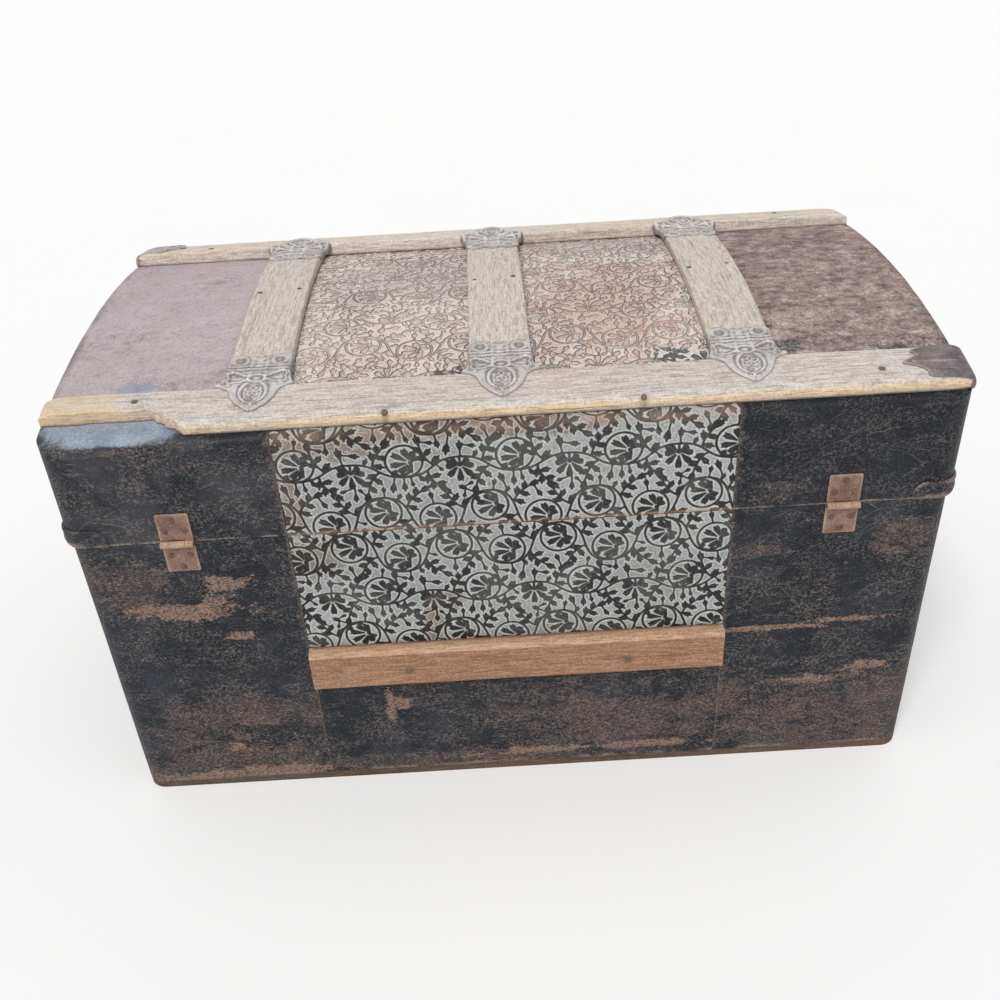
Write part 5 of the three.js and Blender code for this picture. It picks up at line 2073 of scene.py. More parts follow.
@dataclass
class Clasps:
    """The six stamped clasps where the cross slats meet the long ones."""

    steel: Steel
    form: TrunkForm = FORM
    thickness: float = 1.2
    hold: float = 56.0
    tongue: float = 38.0
    ramp: float = 7.0
    skirt: float = 5.0
    widths: tuple[Point2, ...] = (
        (0, 31), (30, 31), (40, 32.5), (50, 36), (55, 38), (56.5, 38), (58, 33), (60, 28.5), (63, 25),
        (68, 23), (74, 21), (80, 17.5), (85, 13.5), (89, 9), (92, 5.5), (94, 2.5),
    )
    head: tuple[Point2, ...] = (
        (0, 2.2), (4, 3), (8.5, 6.6), (13, 3.4), (19, 1), (24.5, 2.2), (28.5, 6), (31, 11),
    )
    nails: tuple[Point2, ...] = ((-19, 12), (19, 12), (2, 78))

    def base(self, t: np.ndarray) -> np.ndarray:
        """Height of the plate's top over the skin.

        Args:
            t: distance from the clasp's head.

        Returns:
            The height.
        """
        low = self.form.fit * 2 + self.form.cross_thickness + self.thickness
        high = self.form.fit * 2 + self.form.slat_thickness + self.thickness
        return low + (high - low) * ease(t, self.hold - self.ramp - 2, self.hold - 0.6)

    def relief(self, x: np.ndarray, t: np.ndarray) -> np.ndarray:
        """Height of the stamped ornament: bars, an oval eye, two tulip petals and a tongue petal.

        Args:
            x: distance across the clasp.
            t: distance from its head.

        Returns:
            How far the stamping stands over the plate.
        """
        far = np.abs(x)
        lobe = np.hypot(far - 19, t - 12)
        total = 0.9 * ridge(lobe - 7.0, 1.5) * (t < 19.5) - 0.4 * ease(lobe, 6, 2)
        total = total + 0.6 * ridge(t - 9 - 2 * np.cos(x / 3.2), 2.2) * (far < 10)
        for line in (21.5, 26.5):
            total = total + 1.1 * ridge(t - line, 1.1)
        eye = np.hypot(x / 8.2, (t - 42) / 5.8)
        total = total + 1.7 * ridge(eye - 1, 0.19) + 1.3 * ease(eye, 0.5, 0.1)
        share = (far - 7.0) / 23.0
        spread = 1.2 + 8.6 * np.sin(np.clip(share, 0, 1) * math.pi * 0.6) ** 1.3
        across = (t - 41.5 + 1.5 * share) / spread
        tip = 0.97 - 0.09 * np.exp(-((across / 0.28) ** 2))
        petal = np.hypot(np.clip(np.abs(across), 0, 2), np.clip((share / tip - 0.62) / 0.38, 0, 2) ** 1.6)
        inside = ease(share, -0.05, 0.04) * ease(share, tip + 0.14, tip + 0.02)
        total = total + inside * (1.8 * ridge((petal - 1) * spread, 1.25) - 0.5 * ease(petal, 0.9, 0.5))
        vein = inside * 0.9 * ridge(across * spread, 1.0)
        total = total + vein * ease(share, 0.85, 0.6) * ease(share, 0.1, 0.3)
        below = ease(t, 50, 54) * ease(t, 90, 86)
        arch = 12.5 * np.sqrt(np.clip(1 - ((t - 68) / 15.5) ** 2, 0, 1))
        total = total + below * 1.6 * ridge(far - arch, 1.4) * ease(t, 51, 55)
        rosette = np.hypot(x, t - 66)
        turn = np.arctan2(t - 66, x)
        total = total + below * 1.1 * ridge(rosette - 5.6 - 1.7 * np.cos(5 * turn + math.pi / 2), 1.2)
        total = total + below * 1.0 * ridge(rosette, 2.2)
        wing = np.hypot(far - 29, (t - 54) * 1.4)
        total = total + 1.0 * ridge(wing - 4.5, 1.2) * (t > 50)
        return total

    def stamping(self, face: Face, cross: Cross) -> None:
        """Builds one clasp.

        Args:
            face: which long slat it holds.
            cross: which cross slat it holds.
        """
        form = self.form
        length = self.hold + self.tongue
        rows, columns = 78, 58
        steps = np.linspace(0, 1, rows)
        sides = np.sin(np.linspace(-1, 1, columns) * math.pi / 2 * 0.9) / math.sin(math.pi / 2 * 0.9)
        t = np.tile((steps * length)[:, None], (1, columns))
        for _ in range(3):
            width = np.interp(t, *zip(*self.widths))
            start = np.interp(np.abs(sides * width), *zip(*self.head))
            t = start + (length - start) * steps[:, None]
        x = sides * np.interp(t, *zip(*self.widths))
        width = np.interp(t, *zip(*self.widths))
        edge = ease(width - np.abs(x), 2.4, 0.4)
        bead = 1.2 * ridge(width - np.abs(x) - 2.2, 1.2) * ease(t, 46, 54)
        inset = t - np.interp(np.abs(x), *zip(*self.head))
        raised = self.relief(x, t) * ease(width - np.abs(x), 0.3, 2.5) * ease(inset, 0.2, 2.5)
        raised = raised * ease(t, length - 0.3, length - 3)
        height = self.base(t) + raised + bead
        down = self.skirt * ease(t, 62, 55) * ease(np.abs(sides), 0.965, 1.0) * ease(t, 7, 12)
        height = height - down - 0.5 * edge
        x = x + np.sign(x) * 0.5 * (down > 0.3)
        run = form.inner_run - self.hold + t
        outer_y, outer_z = form.over_dome(run, height)
        inner_y, inner_z = form.over_dome(run, height - self.thickness)
        across = x + cross.value * form.cross_pitch
        outer = joined(across, outer_y * face.value, outer_z)
        inner = joined(across, inner_y * face.value, inner_z)
        # Lighter on the stamping's crests, wear with a painted highlight; darker in its recesses, on the
        # skirt bent down over the slat and along the lower border, painted shade with patina in the recesses.
        crest = ease(raised + bead, 0.5, 1.9)
        nearby = (raised + bead) - 0.25 * (
            np.roll(raised, 2, 0) + np.roll(raised, -2, 0) + np.roll(raised, 2, 1) + np.roll(raised, -2, 1)
        )
        border = ease(width - np.abs(x), 1.0, 0.2) * ease(t, 44, 56)
        hollow = np.clip(ease(nearby, -0.02, -0.3) + 0.8 * ease(down, 0.8, 2.5) + 0.8 * border, 0, 1)
        draft = MeshDraft()
        closed_plate(draft, outer, inner, proud=crest, hollow=hollow)
        for nail_x, nail_t in self.nails:
            nail_run = form.inner_run - self.hold + nail_t
            lift = self.base(np.array(nail_t)) + self.relief(np.array(float(nail_x)), np.array(float(nail_t)))
            y, z = form.over_dome(nail_run, lift)
            lean = math.sin(nail_run / form.radius)
            spot = (nail_x + cross.value * form.cross_pitch, float(y) * face.value, float(z))
            add_head(draft, spot, (0, lean * face.value, math.cos(nail_run / form.radius)), 3.3, 1.8, 0.2)
        draft.settle(
            f"clasp_{face.word}_{cross.word}_stamping", self.steel, Body.LID, Slot.CLASP,
            f"clasp_{face.word}_{cross.word}", sharp=60,
        )

    def build(self) -> None:
        """Builds the six clasps."""
        for face in Face:
            for cross in Cross:
                self.stamping(face, cross)


@dataclass
class SlatCaps:
    """The two caps left on the ends of the long slats."""

    steel: Steel
    pale_steel: Steel
    form: TrunkForm = FORM
    thickness: float = 1.2
    leaf_length: float = 62.0
    plain_length: float = 48.0
    leaf: tuple[Point2, ...] = (
        (-0.2, 0.3), (0.02, 0.34), (0.06, 0.5), (0.1, 0.76), (0.15, 0.82), (0.21, 0.81), (0.27, 0.74),
        (0.34, 0.84), (0.44, 0.98), (0.5, 1.02), (0.57, 0.88), (0.66, 0.75), (0.76, 0.69), (0.86, 0.71),
        (0.91, 0.66), (0.94, 0.3), (0.96, 0.06), (1.2, 0.03),
    )

    plain: tuple[Point2, ...] = (
        (-0.2, 0.05), (0.1, 0.07), (0.14, 0.6), (0.28, 0.78), (0.42, 0.96), (0.54, 1.16), (0.66, 1.1),
        (1.2, 1.0),
    )

    def cap(self, end: End, face: Face, leaf: bool) -> None:
        """Builds one cap.

        Args:
            end: which end it covers.
            face: which long slat it covers.
            leaf: whether it has the lobed outline.
        """
        form = self.form
        gap = form.fit
        shells = []
        lifts = []
        top = form.fit + form.slat_thickness
        steps = np.linspace(0, 1, 34)
        for grow in (gap + self.thickness, gap):
            outline, _ = bar_section(
                form.inner_run - grow, form.outer_run + grow, form.fit, top + grow, 2 + grow, 8 + grow,
            )
            arc = outline[:-4]
            middle = np.array([(form.inner_run + form.outer_run) / 2, form.fit + 2])
            share = (arc[:, 0] - form.inner_run) / form.slat_width
            if leaf:
                reach = self.leaf_length * np.interp(share, *zip(*self.leaf))
            else:
                torn = 1 - 0.06 * noise_at(123, share * 14, 0, 0)
                reach = self.plain_length * torn * np.interp(share, *zip(*self.plain))
            rings = []
            for fraction in (0.03, 0.3, 0.6, 0.82, 0.93):
                ring = middle + (arc - middle) * fraction
                bulge = 0.9 * (1 - fraction**2) - 0.4
                back = np.full(len(arc), form.lid_half + grow + bulge)
                rings.append(nosed(back, ring, form.lid_half + grow - 0.4, form))
                lifts.append(np.zeros(len(arc)))
            for step in steps:
                back = form.lid_half + grow - 0.6 - (reach + grow - 0.6) * step
                lift = 0.0
                if grow > gap and leaf:
                    vein = ridge(share - 0.5, 0.05) + 0.7 * ridge(share - 0.28 - 0.1 * step, 0.05)
                    vein = vein + 0.7 * ridge(share - 0.76 + 0.1 * step, 0.05)
                    lift = 0.8 * vein * math.sin(math.pi * step)
                elif grow > gap:
                    lift = 0.7 * ridge(step - 0.82, 0.06)
                rim = 0.35 * ridge(step - 0.96, 0.03) if grow > gap else 0.0
                normal = outline_normals(outline)[:-4]
                lifts.append(lift + rim + np.zeros(len(arc)))
                moved = arc + normal * lifts[-1][:, None]
                rings.append(nosed(back, moved, form.lid_half + grow - 0.4, form))
            shell = np.array(rings)
            y, z = form.over_dome(shell[..., 1], shell[..., 2])
            dent = 0.5 * noise_at(121, shell[..., 0] / 16, shell[..., 1] / 16, shell[..., 2] / 9)
            z = z + dent * ease(shell[..., 2], 9, 14)
            shells.append(joined(shell[..., 0] * end.value, y * face.value, z))
        draft = MeshDraft()
        rows = np.arange(shells[0].shape[0])[:, None] / shells[0].shape[0]
        stamped = np.array(lifts[: len(rows)])
        # Lighter on the rounded end, the far rim and the stamped veins, wear with a painted highlight; darker
        # beside the veins, painted shade.
        proud = ease(rows, 0.25, 0.05) * 0.6 + ease(rows, 0.9, 0.96) * 0.9 + 0.7 * ease(stamped, 0.35, 0.8)
        proud = np.clip(proud, 0, 1)
        closed_plate(draft, shells[0], shells[1], proud=proud, hollow=0.6 * ridge(stamped - 0.2, 0.12))
        nails = ((0.84, 0.5),) if leaf else ((0.7, 0.3), (0.7, 0.75))
        for length_share, width_share in nails:
            length = self.leaf_length if leaf else self.plain_length
            run = form.inner_run + form.slat_width * width_share
            y, z = form.over_dome(run, top + gap + self.thickness)
            spot = ((form.lid_half - length * length_share) * end.value, float(y) * face.value, float(z))
            lean = run / form.radius
            add_head(draft, spot, (0, face.value * math.sin(lean), math.cos(lean)), 3.0, 1.4)
        label, steel = ("leaf", self.steel) if leaf else ("plain", self.pale_steel)
        draft.settle(
            f"slat_cap_{face.word}_{end.word}_{label}", steel, Body.LID, Slot.CLASP,
            f"slat_cap_{face.word}_{end.word}", sharp=55,
        )

    def build(self) -> None:
        """Builds both caps."""
        self.cap(End.RIGHT, Face.BACK, True)
        self.cap(End.LEFT, Face.FRONT, False)


@dataclass
class Valances:
    """The formed strips round the lid's ends along the seam."""

    finish: Japanned
    form: TrunkForm = FORM
    height: float = 20.0
    thickness: float = 2.5
    tab: float = 44.0

    def build(self) -> None:
        """Builds both strips."""
        form = self.form
        low = form.lid_bottom
        for end in End:
            path, normals = mirrored(*end_path(form.lid_half, form.lid_half - self.tab, 0.0, form))
            length = way_along(path)
            near = np.minimum(length, length[-1] - length)
            height = 3 + (self.height - 3) * np.sqrt(np.clip(1 - (1 - np.clip(near / 11, 0, 1)) ** 2, 0, 1))
            shares = np.array([
                (0.0, 0.0), (0.45, 0.0), (0.8, 0.1), (1.0, 0.26), (1.0, 0.45), (0.82, 0.6),
                (0.8, 0.72), (0.95, 0.84), (0.85, 0.95), (0.5, 1.0), (0.0, 1.0), (0.0, 0.5),
            ])
            outward = form.fit + (self.thickness + 0.4) * shares[:, 0]
            flare = 0.35 + 0.65 * ease(near, 0, 8)
            sections = np.zeros((len(path), len(shares), 3))
            wave = 0.35 * noise_at(131, length / 30, 0, end.value)
            for index, share in enumerate(shares):
                away = form.fit + (outward[index] - form.fit) * flare + wave * share[0]
                sections[:, index, 0] = (path[:, 0] + normals[:, 0] * away) * end.value
                sections[:, index, 1] = path[:, 1] + normals[:, 1] * away
                sections[:, index, 2] = low + height * share[1]
            worn = np.tile(np.array([0, 1, 0.9, 0.6, 0.3, 0.1, 0.2, 0.8, 1, 0.8, 0.2, 0]), (len(path), 1))
            worn = worn * patchy(sections, 12, 4, 0.7)
            draft = MeshDraft()
            loft(draft, sections, worn=np.clip(worn, 0, 1))
            for face in Face:
                y = (form.half_depth + form.fit + self.thickness) * face.value
                add_head(
                    draft, (end.value * (form.lid_half - 21), y, low + 9.5), (0, face.value, 0), 2.6, 1.1,
                )
            for y in (-150, -50, 50, 150):
                x = end.value * (form.lid_half + form.fit + self.thickness)
                add_head(draft, (x, y, low + 9.5), (end.value, 0, 0), 2.6, 1.1)
            draft.settle(
                f"lid_{end.word}_seam_strip", self.finish, Body.LID, Slot.BLACK,
                f"lid_valance_{end.word}", sharp=45,
            )


def leaf_plate(
    draft: MeshDraft, centre_x: float, half: float, z_range: Point2, y_base: float, side: int,
    thickness: float, corner: float, seed: int,
) -> None:
    """Adds a hammered strap leaf with rounded free corners.

    Args:
        draft: the piece that it joins.
        centre_x: its middle along the length.
        half: half its width.
        z_range: its height at the knuckle and at its free end.
        y_base: distance of its back from the trunk's middle.
        side: 1 on the hinge side, -1 on the lock side.
        thickness: its thickness.
        corner: radius of its free corners.
        seed: picks its unevenness.
    """
    rows, columns = 26, 24
    share = np.linspace(0, 1, rows)[:, None]
    length = abs(z_range[1] - z_range[0])
    from_end = (1 - share) * length
    inset = corner - np.sqrt(np.clip(corner**2 - np.clip(corner - from_end, 0, corner) ** 2, 0, None))
    across = np.linspace(-1, 1, columns)[None, :]
    x = centre_x + across * (half - inset)
    z = z_range[0] + (z_range[1] - z_range[0]) * share + across * 0
    edge = ease(np.abs(across), 0.84, 1.0) + ease(share, 0.94, 1.0)
    hammer = 0.22 * noise_at(seed, x / 7, z / 7, 0)
    y = y_base + thickness + hammer - 0.5 * np.clip(edge, 0, 1)
    outer = joined(x, y * side, z)
    inner = joined(x, np.full_like(x, y_base) * side, z)
    # Lighter along the plate's edges: a painted highlight.
    proud = np.clip(edge * 0.7 + 0.25 * hammer, 0, 1)
    closed_plate(draft, outer, inner, proud=proud, hollow=proud * 0)


def add_box(
    draft: MeshDraft, x_range: Point2, y_range: Point2, z_range: Point2, turned: bool = False,
    proud: float = 0.3,
) -> None:
    """Adds a plain web.

    Args:
        draft: the piece that it joins.
        x_range: where it starts and ends along X.
        y_range: the same along Y.
        z_range: the same along Z.
        turned: whether it lies on the lock side, at minus Y.
        proud: how light it is painted, for wear with a painted highlight.
    """
    sign = -1 if turned else 1
    corners = [(x, y * sign, z) for x in x_range for y in y_range for z in z_range]
    faces = [(0, 1, 3, 2), (4, 6, 7, 5), (0, 4, 5, 1), (2, 3, 7, 6), (0, 2, 6, 4), (1, 5, 7, 3)]
    draft.add(np.array(corners), faces, proud=np.full(8, proud))


def roll(
    draft: MeshDraft, x_range: Point2, axis: Point2, ways: tuple[int, int], ring: Sequence[Point2],
    rubbed_and_highlight: Point2,
) -> None:
    """Adds a stretch of a roll with a given outline.

    Args:
        draft: the piece that it joins.
        x_range: where it starts and ends along its axis.
        axis: the Y and Z of its axis.
        ways: the signs of Y and of the outline's Z.
        ring: the outline's points round the axis.
        rubbed_and_highlight: from how far to how far off the axis it is painted lighter, a painted highlight
            on the outside of the roll.
    """
    outline = np.array(ring)
    stations = np.linspace(x_range[0], x_range[1], 5)
    sections = np.zeros((len(stations), len(outline), 3))
    sections[..., 0] = stations[:, None]
    sections[..., 1] = (axis[0] + outline[None, :, 0]) * ways[0]
    sections[..., 2] = axis[1] + outline[None, :, 1] * ways[1]
    away = np.hypot(outline[:, 0], outline[:, 1])
    # Lighter on the roll's outside, a painted highlight; darker in the bore, painted shade.
    proud = np.tile(ease(away, rubbed_and_highlight[0], rubbed_and_highlight[1]), (len(stations), 1))
    loft(draft, sections, proud=proud, hollow=1 - proud)


def rolled_knuckle(
    draft: MeshDraft, x_range: Point2, axis: Point2, side: int, up: int, outer: float, inner: float,
) -> None:
    """Adds a stretch of sheet rolled round a pin.

    Args:
        draft: the piece that it joins.
        x_range: where it starts and ends along the pin.
        axis: the pin's Y and Z.
        side: 1 on the hinge side, -1 on the lock side.
        up: 1 where the leaf lies above the pin, -1 below.
        outer: the roll's radius.
        inner: the pin hole's radius.
    """
    angles = np.linspace(0, math.radians(292), 26)
    ring = [(-outer, 2.6)]
    ring += [(-outer * math.cos(angle), -outer * math.sin(angle)) for angle in angles]
    ring += [(-inner * math.cos(angle), -inner * math.sin(angle)) for angle in angles[::-1]]
    ring.append((-inner, 2.6))
    roll(draft, x_range, axis, (side, up), ring, (inner + 0.4, outer))


@dataclass
class StrapHinges:
    """The two strap hinges on the back, each with a leaf on the lid and one on the body."""

    steel: Steel
    form: TrunkForm = FORM
    width: float = 32.0
    length: float = 34.0
    thickness: float = 1.6
    knuckle: float = 3.5
    bore: float = 2.0
    gap: float = 0.4

    @property
    def axis(self) -> Point2:
        """The pin's Y and Z."""
        return (self.form.half_depth + self.form.fit + self.knuckle, self.form.seam)

    def leaf(self, end: End, up: int, stretches: tuple[Point2, ...], rivets: tuple[Point2, ...]) -> MeshDraft:
        """Builds one leaf with its knuckles and rivets.

        Args:
            end: which hinge.
            up: 1 for the lid's leaf, -1 for the body's.
            stretches: shares of the width that carry a knuckle.
            rivets: places across and away from the pin.

        Returns:
            The piece's draft.
        """
        form = self.form
        middle = end.value * form.hinge_offset
        base = form.half_depth + form.fit
        start = form.seam + up * (self.knuckle + self.gap)
        draft = MeshDraft()
        z_range = (start, form.seam + up * self.length)
        leaf_plate(draft, middle, self.width / 2, z_range, base, 1, self.thickness, 1.2, 141 + up)
        for low, high in stretches:
            left = middle - self.width / 2 + self.width * low + (self.gap / 2 if low > 0 else 0)
            right = middle - self.width / 2 + self.width * high - (self.gap / 2 if high < 1 else 0)
            rolled_knuckle(draft, (left, right), self.axis, 1, up, self.knuckle, self.bore)
            z_range = (form.seam + up * 1.6, start + up * 0.5)
            add_box(draft, (left, right), (base, base + self.thickness), z_range)
        for x, away in rivets:
            spot = (middle + x, base + self.thickness + 0.1, form.seam + up * away)
            add_head(draft, spot, (0, 1, 0), 3.2, 1.6, 0.0)
        return draft

    def build(self) -> None:
        """Builds both hinges."""
        for end in End:
            upper = self.leaf(end, 1, ((0, 0.25), (0.75, 1)), ((0, 28), (-9.5, 15), (9.5, 15)))
            upper.settle(
                f"hinge_{end.word}_lid_leaf", self.steel, Body.LID, Slot.HINGE,
                f"hinge_lid_leaf_{end.word}", sharp=50,
            )
            lower = self.leaf(end, -1, ((0.25, 0.75),), ((0, 28), (-9.5, 14), (9.5, 14)))
            lower.settle(
                f"hinge_{end.word}_body_leaf", self.steel, Body.BODY, Slot.HINGE,
                f"hinge_body_leaf_{end.word}", sharp=50,
            )


def cut_plate(outlines: Sequence[Sequence[Point2]], thickness: float, bevel: float) -> bpy.types.Mesh:
    """Makes a flat plate with rounded rims from closed outlines.

    Args:
        outlines: the outer outline and then its holes, in millimetres.
        thickness: its full thickness.
        bevel: radius of its rims.

    Returns:
        A mesh in metres that lies on X and Y with its middle at Z 0.
    """
    curve = bpy.data.curves.new("plate_outline", "CURVE")
    curve.dimensions = "2D"
    curve.fill_mode = "BOTH"
    curve.extrude = (thickness / 2 - bevel) * MM
    curve.bevel_depth = bevel * MM
    curve.bevel_resolution = 3
    curve.offset = -bevel * MM
    for outline in outlines:
        spline = curve.splines.new("POLY")
        spline.points.add(len(outline) - 1)
        for point, (x, y) in zip(spline.points, outline):
            point.co = (x * MM, y * MM, 0, 1)
        spline.use_cyclic_u = True
    holder = bpy.data.objects.new("plate_outline", curve)
    bpy.context.scene.collection.objects.link(holder)
    bpy.context.view_layer.update()
    mesh = bpy.data.meshes.new_from_object(holder.evaluated_get(bpy.context.evaluated_depsgraph_get()))
    bpy.data.objects.remove(holder)
    bpy.data.curves.remove(curve)
    return mesh


def rounded_box(
    low_x: float, high_x: float, low_y: float, high_y: float, radii: Sequence[float],
) -> list[Point2]:
    """Outlines a rectangle with its own radius at each corner.

    Args:
        low_x: its left side.
        high_x: its right side.
        low_y: its bottom.
        high_y: its top.
        radii: radii from the upper right corner, counterclockwise.

    Returns:
        The outline's points.
    """
    corners = ((high_x, high_y, -1, -1), (low_x, high_y, 1, -1), (low_x, low_y, 1, 1), (high_x, low_y, -1, 1))
    points = []
    for index, ((x, y, way_x, way_y), radius) in enumerate(zip(corners, radii)):
        for step in range(9):
            angle = math.pi / 2 * (index + step / 8)
            centre = (x + way_x * radius, y + way_y * radius)
            points.append(ahead(centre, radius, angle))
    return points


def oval(height: float, half_width: float, half_height: float) -> list[Point2]:
    """Outlines an upright oval round the middle line."""
    turns = np.linspace(0, TAU, 33)[:-1]
    return [(half_width * math.sin(turn), height + half_height * math.cos(turn)) for turn in turns]


@dataclass
class LockAndHasp:
    """The lock on the front, with its hasp hung from a plate on the lid."""

    brass: Steel
    form: TrunkForm = FORM
    lock_width: float = 84.0
    lock_height: float = 66.0
    lock_thickness: float = 5.0
    lock_drop: float = 7.0
    hasp_width: float = 44.0
    hasp_length: float = 58.0
    hasp_thickness: float = 2.3
    plate_height: float = 32.0
    rise: float = 16.0
    stud_drop: float = 38.0
    knuckle: float = 3.5
    bore: float = 2.0

    def lay(self, draft: MeshDraft, mesh: bpy.types.Mesh, middle_y: float, proud: float) -> None:
        """Stands a flat plate up on the lock side.

        Args:
            draft: the piece that it joins.
            mesh: the plate on X and Y.
            middle_y: the Y of its middle.
            proud: how light it is painted, for wear with a painted highlight.
        """
        flat = np.array([vertex.co[:] for vertex in mesh.vertices]) / MM
        points = joined(flat[:, 0], middle_y + flat[:, 2] * -1, flat[:, 1])
        faces = [tuple(polygon.vertices) for polygon in mesh.polygons]
        rim = ease(np.abs(flat[:, 2]), 0, np.abs(flat[:, 2]).max())
        draft.add(points, faces, proud=np.full(len(points), proud) * (0.6 + 0.4 * rim))
        bpy.data.meshes.remove(mesh)

    def lock(self) -> None:
        """Builds the lock case with its raised border, notch and keyhole."""
        form = self.form
        back = -form.half_depth - form.fit
        top = form.body_top - self.lock_drop
        low = top - self.lock_height
        half = self.lock_width / 2
        notch = 9.0
        notch_low = form.seam + self.rise - self.stud_drop - 8
        outline = rounded_box(-half, half, low, top, (12, 12, 12, 12))
        cut = [(notch, top), (notch, notch_low + 2), (notch - 2, notch_low)]
        cut += [(-x, z) for x, z in reversed(cut)]
        outline = outline[:9] + cut + outline[9:]
        key_z = (notch_low + low) / 2 + 3
        bow = np.linspace(-2.6, 2.6, 18)
        round_hole = [(3.0 * math.sin(angle), key_z + 3.0 * math.cos(angle)) for angle in bow]
        keyhole = round_hole + [(1.5, key_z - 9), (-1.5, key_z - 9)]
        draft = MeshDraft()
        depth = self.lock_thickness
        self.lay(draft, cut_plate([outline, keyhole], depth - 1.4, 0.9), back - (depth - 1.4) / 2, 0.35)
        inner = rounded_box(-half + 7, half - 7, low + 7, notch_low - 3, (4, 4, 8, 8))
        self.lay(draft, cut_plate([inner, keyhole], 2.4, 0.9), back - depth + 1.2, 0.75)
        scut = oval(key_z - 2.5, 7, 8.5)
        self.lay(draft, cut_plate([scut, keyhole], 1.2, 0.5), back - depth - 0.3, 1.0)
        for x in (-half + 9, half - 9):
            for z in (low + 14, top - 14):
                y = back - depth + (1.4 if z > notch_low - 4 else 0)
                add_head(draft, (x, y, z), (0, -1, 0), 3.2, 1.3)
        draft.settle("lock_case_plates", self.brass, Body.BODY, Slot.LOCK, "lock_case", sharp=45)

    def plate(self) -> None:
        """Builds the plate on the lid that carries the hasp."""
        form = self.form
        axis_z = form.seam + self.rise
        base = form.half_depth + form.fit
        reach = self.lock_thickness + form.fit + self.hasp_thickness - self.knuckle
        swing = math.hypot(reach, self.knuckle) + 0.4
        draft = MeshDraft()
        z_range = (axis_z + swing, axis_z + self.plate_height)
        leaf_plate(draft, 0, self.hasp_width / 2, z_range, base, -1, 1.6, 9.0, 151)
        third = self.hasp_width / 6
        axis = (base + self.knuckle, axis_z)
        span = (-third + 0.2, third - 0.2)
        rolled_knuckle(draft, span, axis, -1, 1, self.knuckle, self.bore)
        add_box(draft, span, (base, base + 1.6), (axis_z + 2, axis_z + swing + 0.5), True)
        for x, up in ((-13, 11.5), (13, 11.5), (0, 25)):
            add_head(draft, (x, -base - 1.6, axis_z + up), (0, -1, 0), 3.0, 1.4)
        draft.settle("hasp_lid_plate", self.brass, Body.LID, Slot.LOCK, "hasp_plate", sharp=50)

    def hasp(self) -> None:
        """Builds the hasp with its raised shield, stud and two knuckles."""
        form = self.form
        axis_z = form.seam + self.rise
        back = -form.half_depth - form.fit - self.lock_thickness - form.fit
        half = self.hasp_width / 2
        low = axis_z - self.hasp_length
        high = axis_z - self.knuckle - 0.4
        draft = MeshDraft()
        outline = rounded_box(-half, half, low, high, (1.5, 1.5, 16, 16))
        self.lay(draft, cut_plate([outline], self.hasp_thickness, 0.8), back - self.hasp_thickness / 2, 0.5)
        shield = rounded_box(-half + 6, half - 6, low + 6, high - 9, (5, 5, 11, 11))
        hollow = rounded_box(-half + 9, half - 9, low + 9, high - 12, (3, 3, 8, 8))
        self.lay(draft, cut_plate([shield, hollow], 1.6, 0.6), back - self.hasp_thickness - 0.3, 0.9)
        boss = oval(low + 24, 7.5, 9)
        self.lay(draft, cut_plate([boss], 2.2, 1.0), back - self.hasp_thickness - 0.5, 1.0)
        stud = rounded_box(-7, 7, axis_z - self.stud_drop - 6, axis_z - self.stud_drop + 6, (2, 2, 2, 2))
        self.lay(draft, cut_plate([stud], 5.0, 0.8), back + 1.5, 0.4)
        third = self.hasp_width / 6
        axis = (form.half_depth + form.fit + self.knuckle, axis_z)
        for left, right in ((-half, -third - 0.2), (third + 0.2, half)):
            angles = np.linspace(math.radians(-75), math.radians(205), 24)
            ring = [(self.knuckle * math.cos(angle), self.knuckle * math.sin(angle)) for angle in angles]
            ring += [(self.bore * math.cos(angle), self.bore * math.sin(angle)) for angle in angles[::-1]]
            roll(draft, (left, right), axis, (-1, 1), ring, (self.bore + 0.4, self.knuckle))
            y_range = (back - self.hasp_thickness, back)
            add_box(draft, (left, right), y_range, (high - 8, axis_z - 1.6), proud=0.4)
        draft.settle("hasp_tongue", self.brass, Body.HASP, Slot.LOCK, "hasp", sharp=45)

    def build(self) -> None:
        """Builds the lock, the plate and the hasp."""
        self.lock()
        self.plate()
        self.hasp()


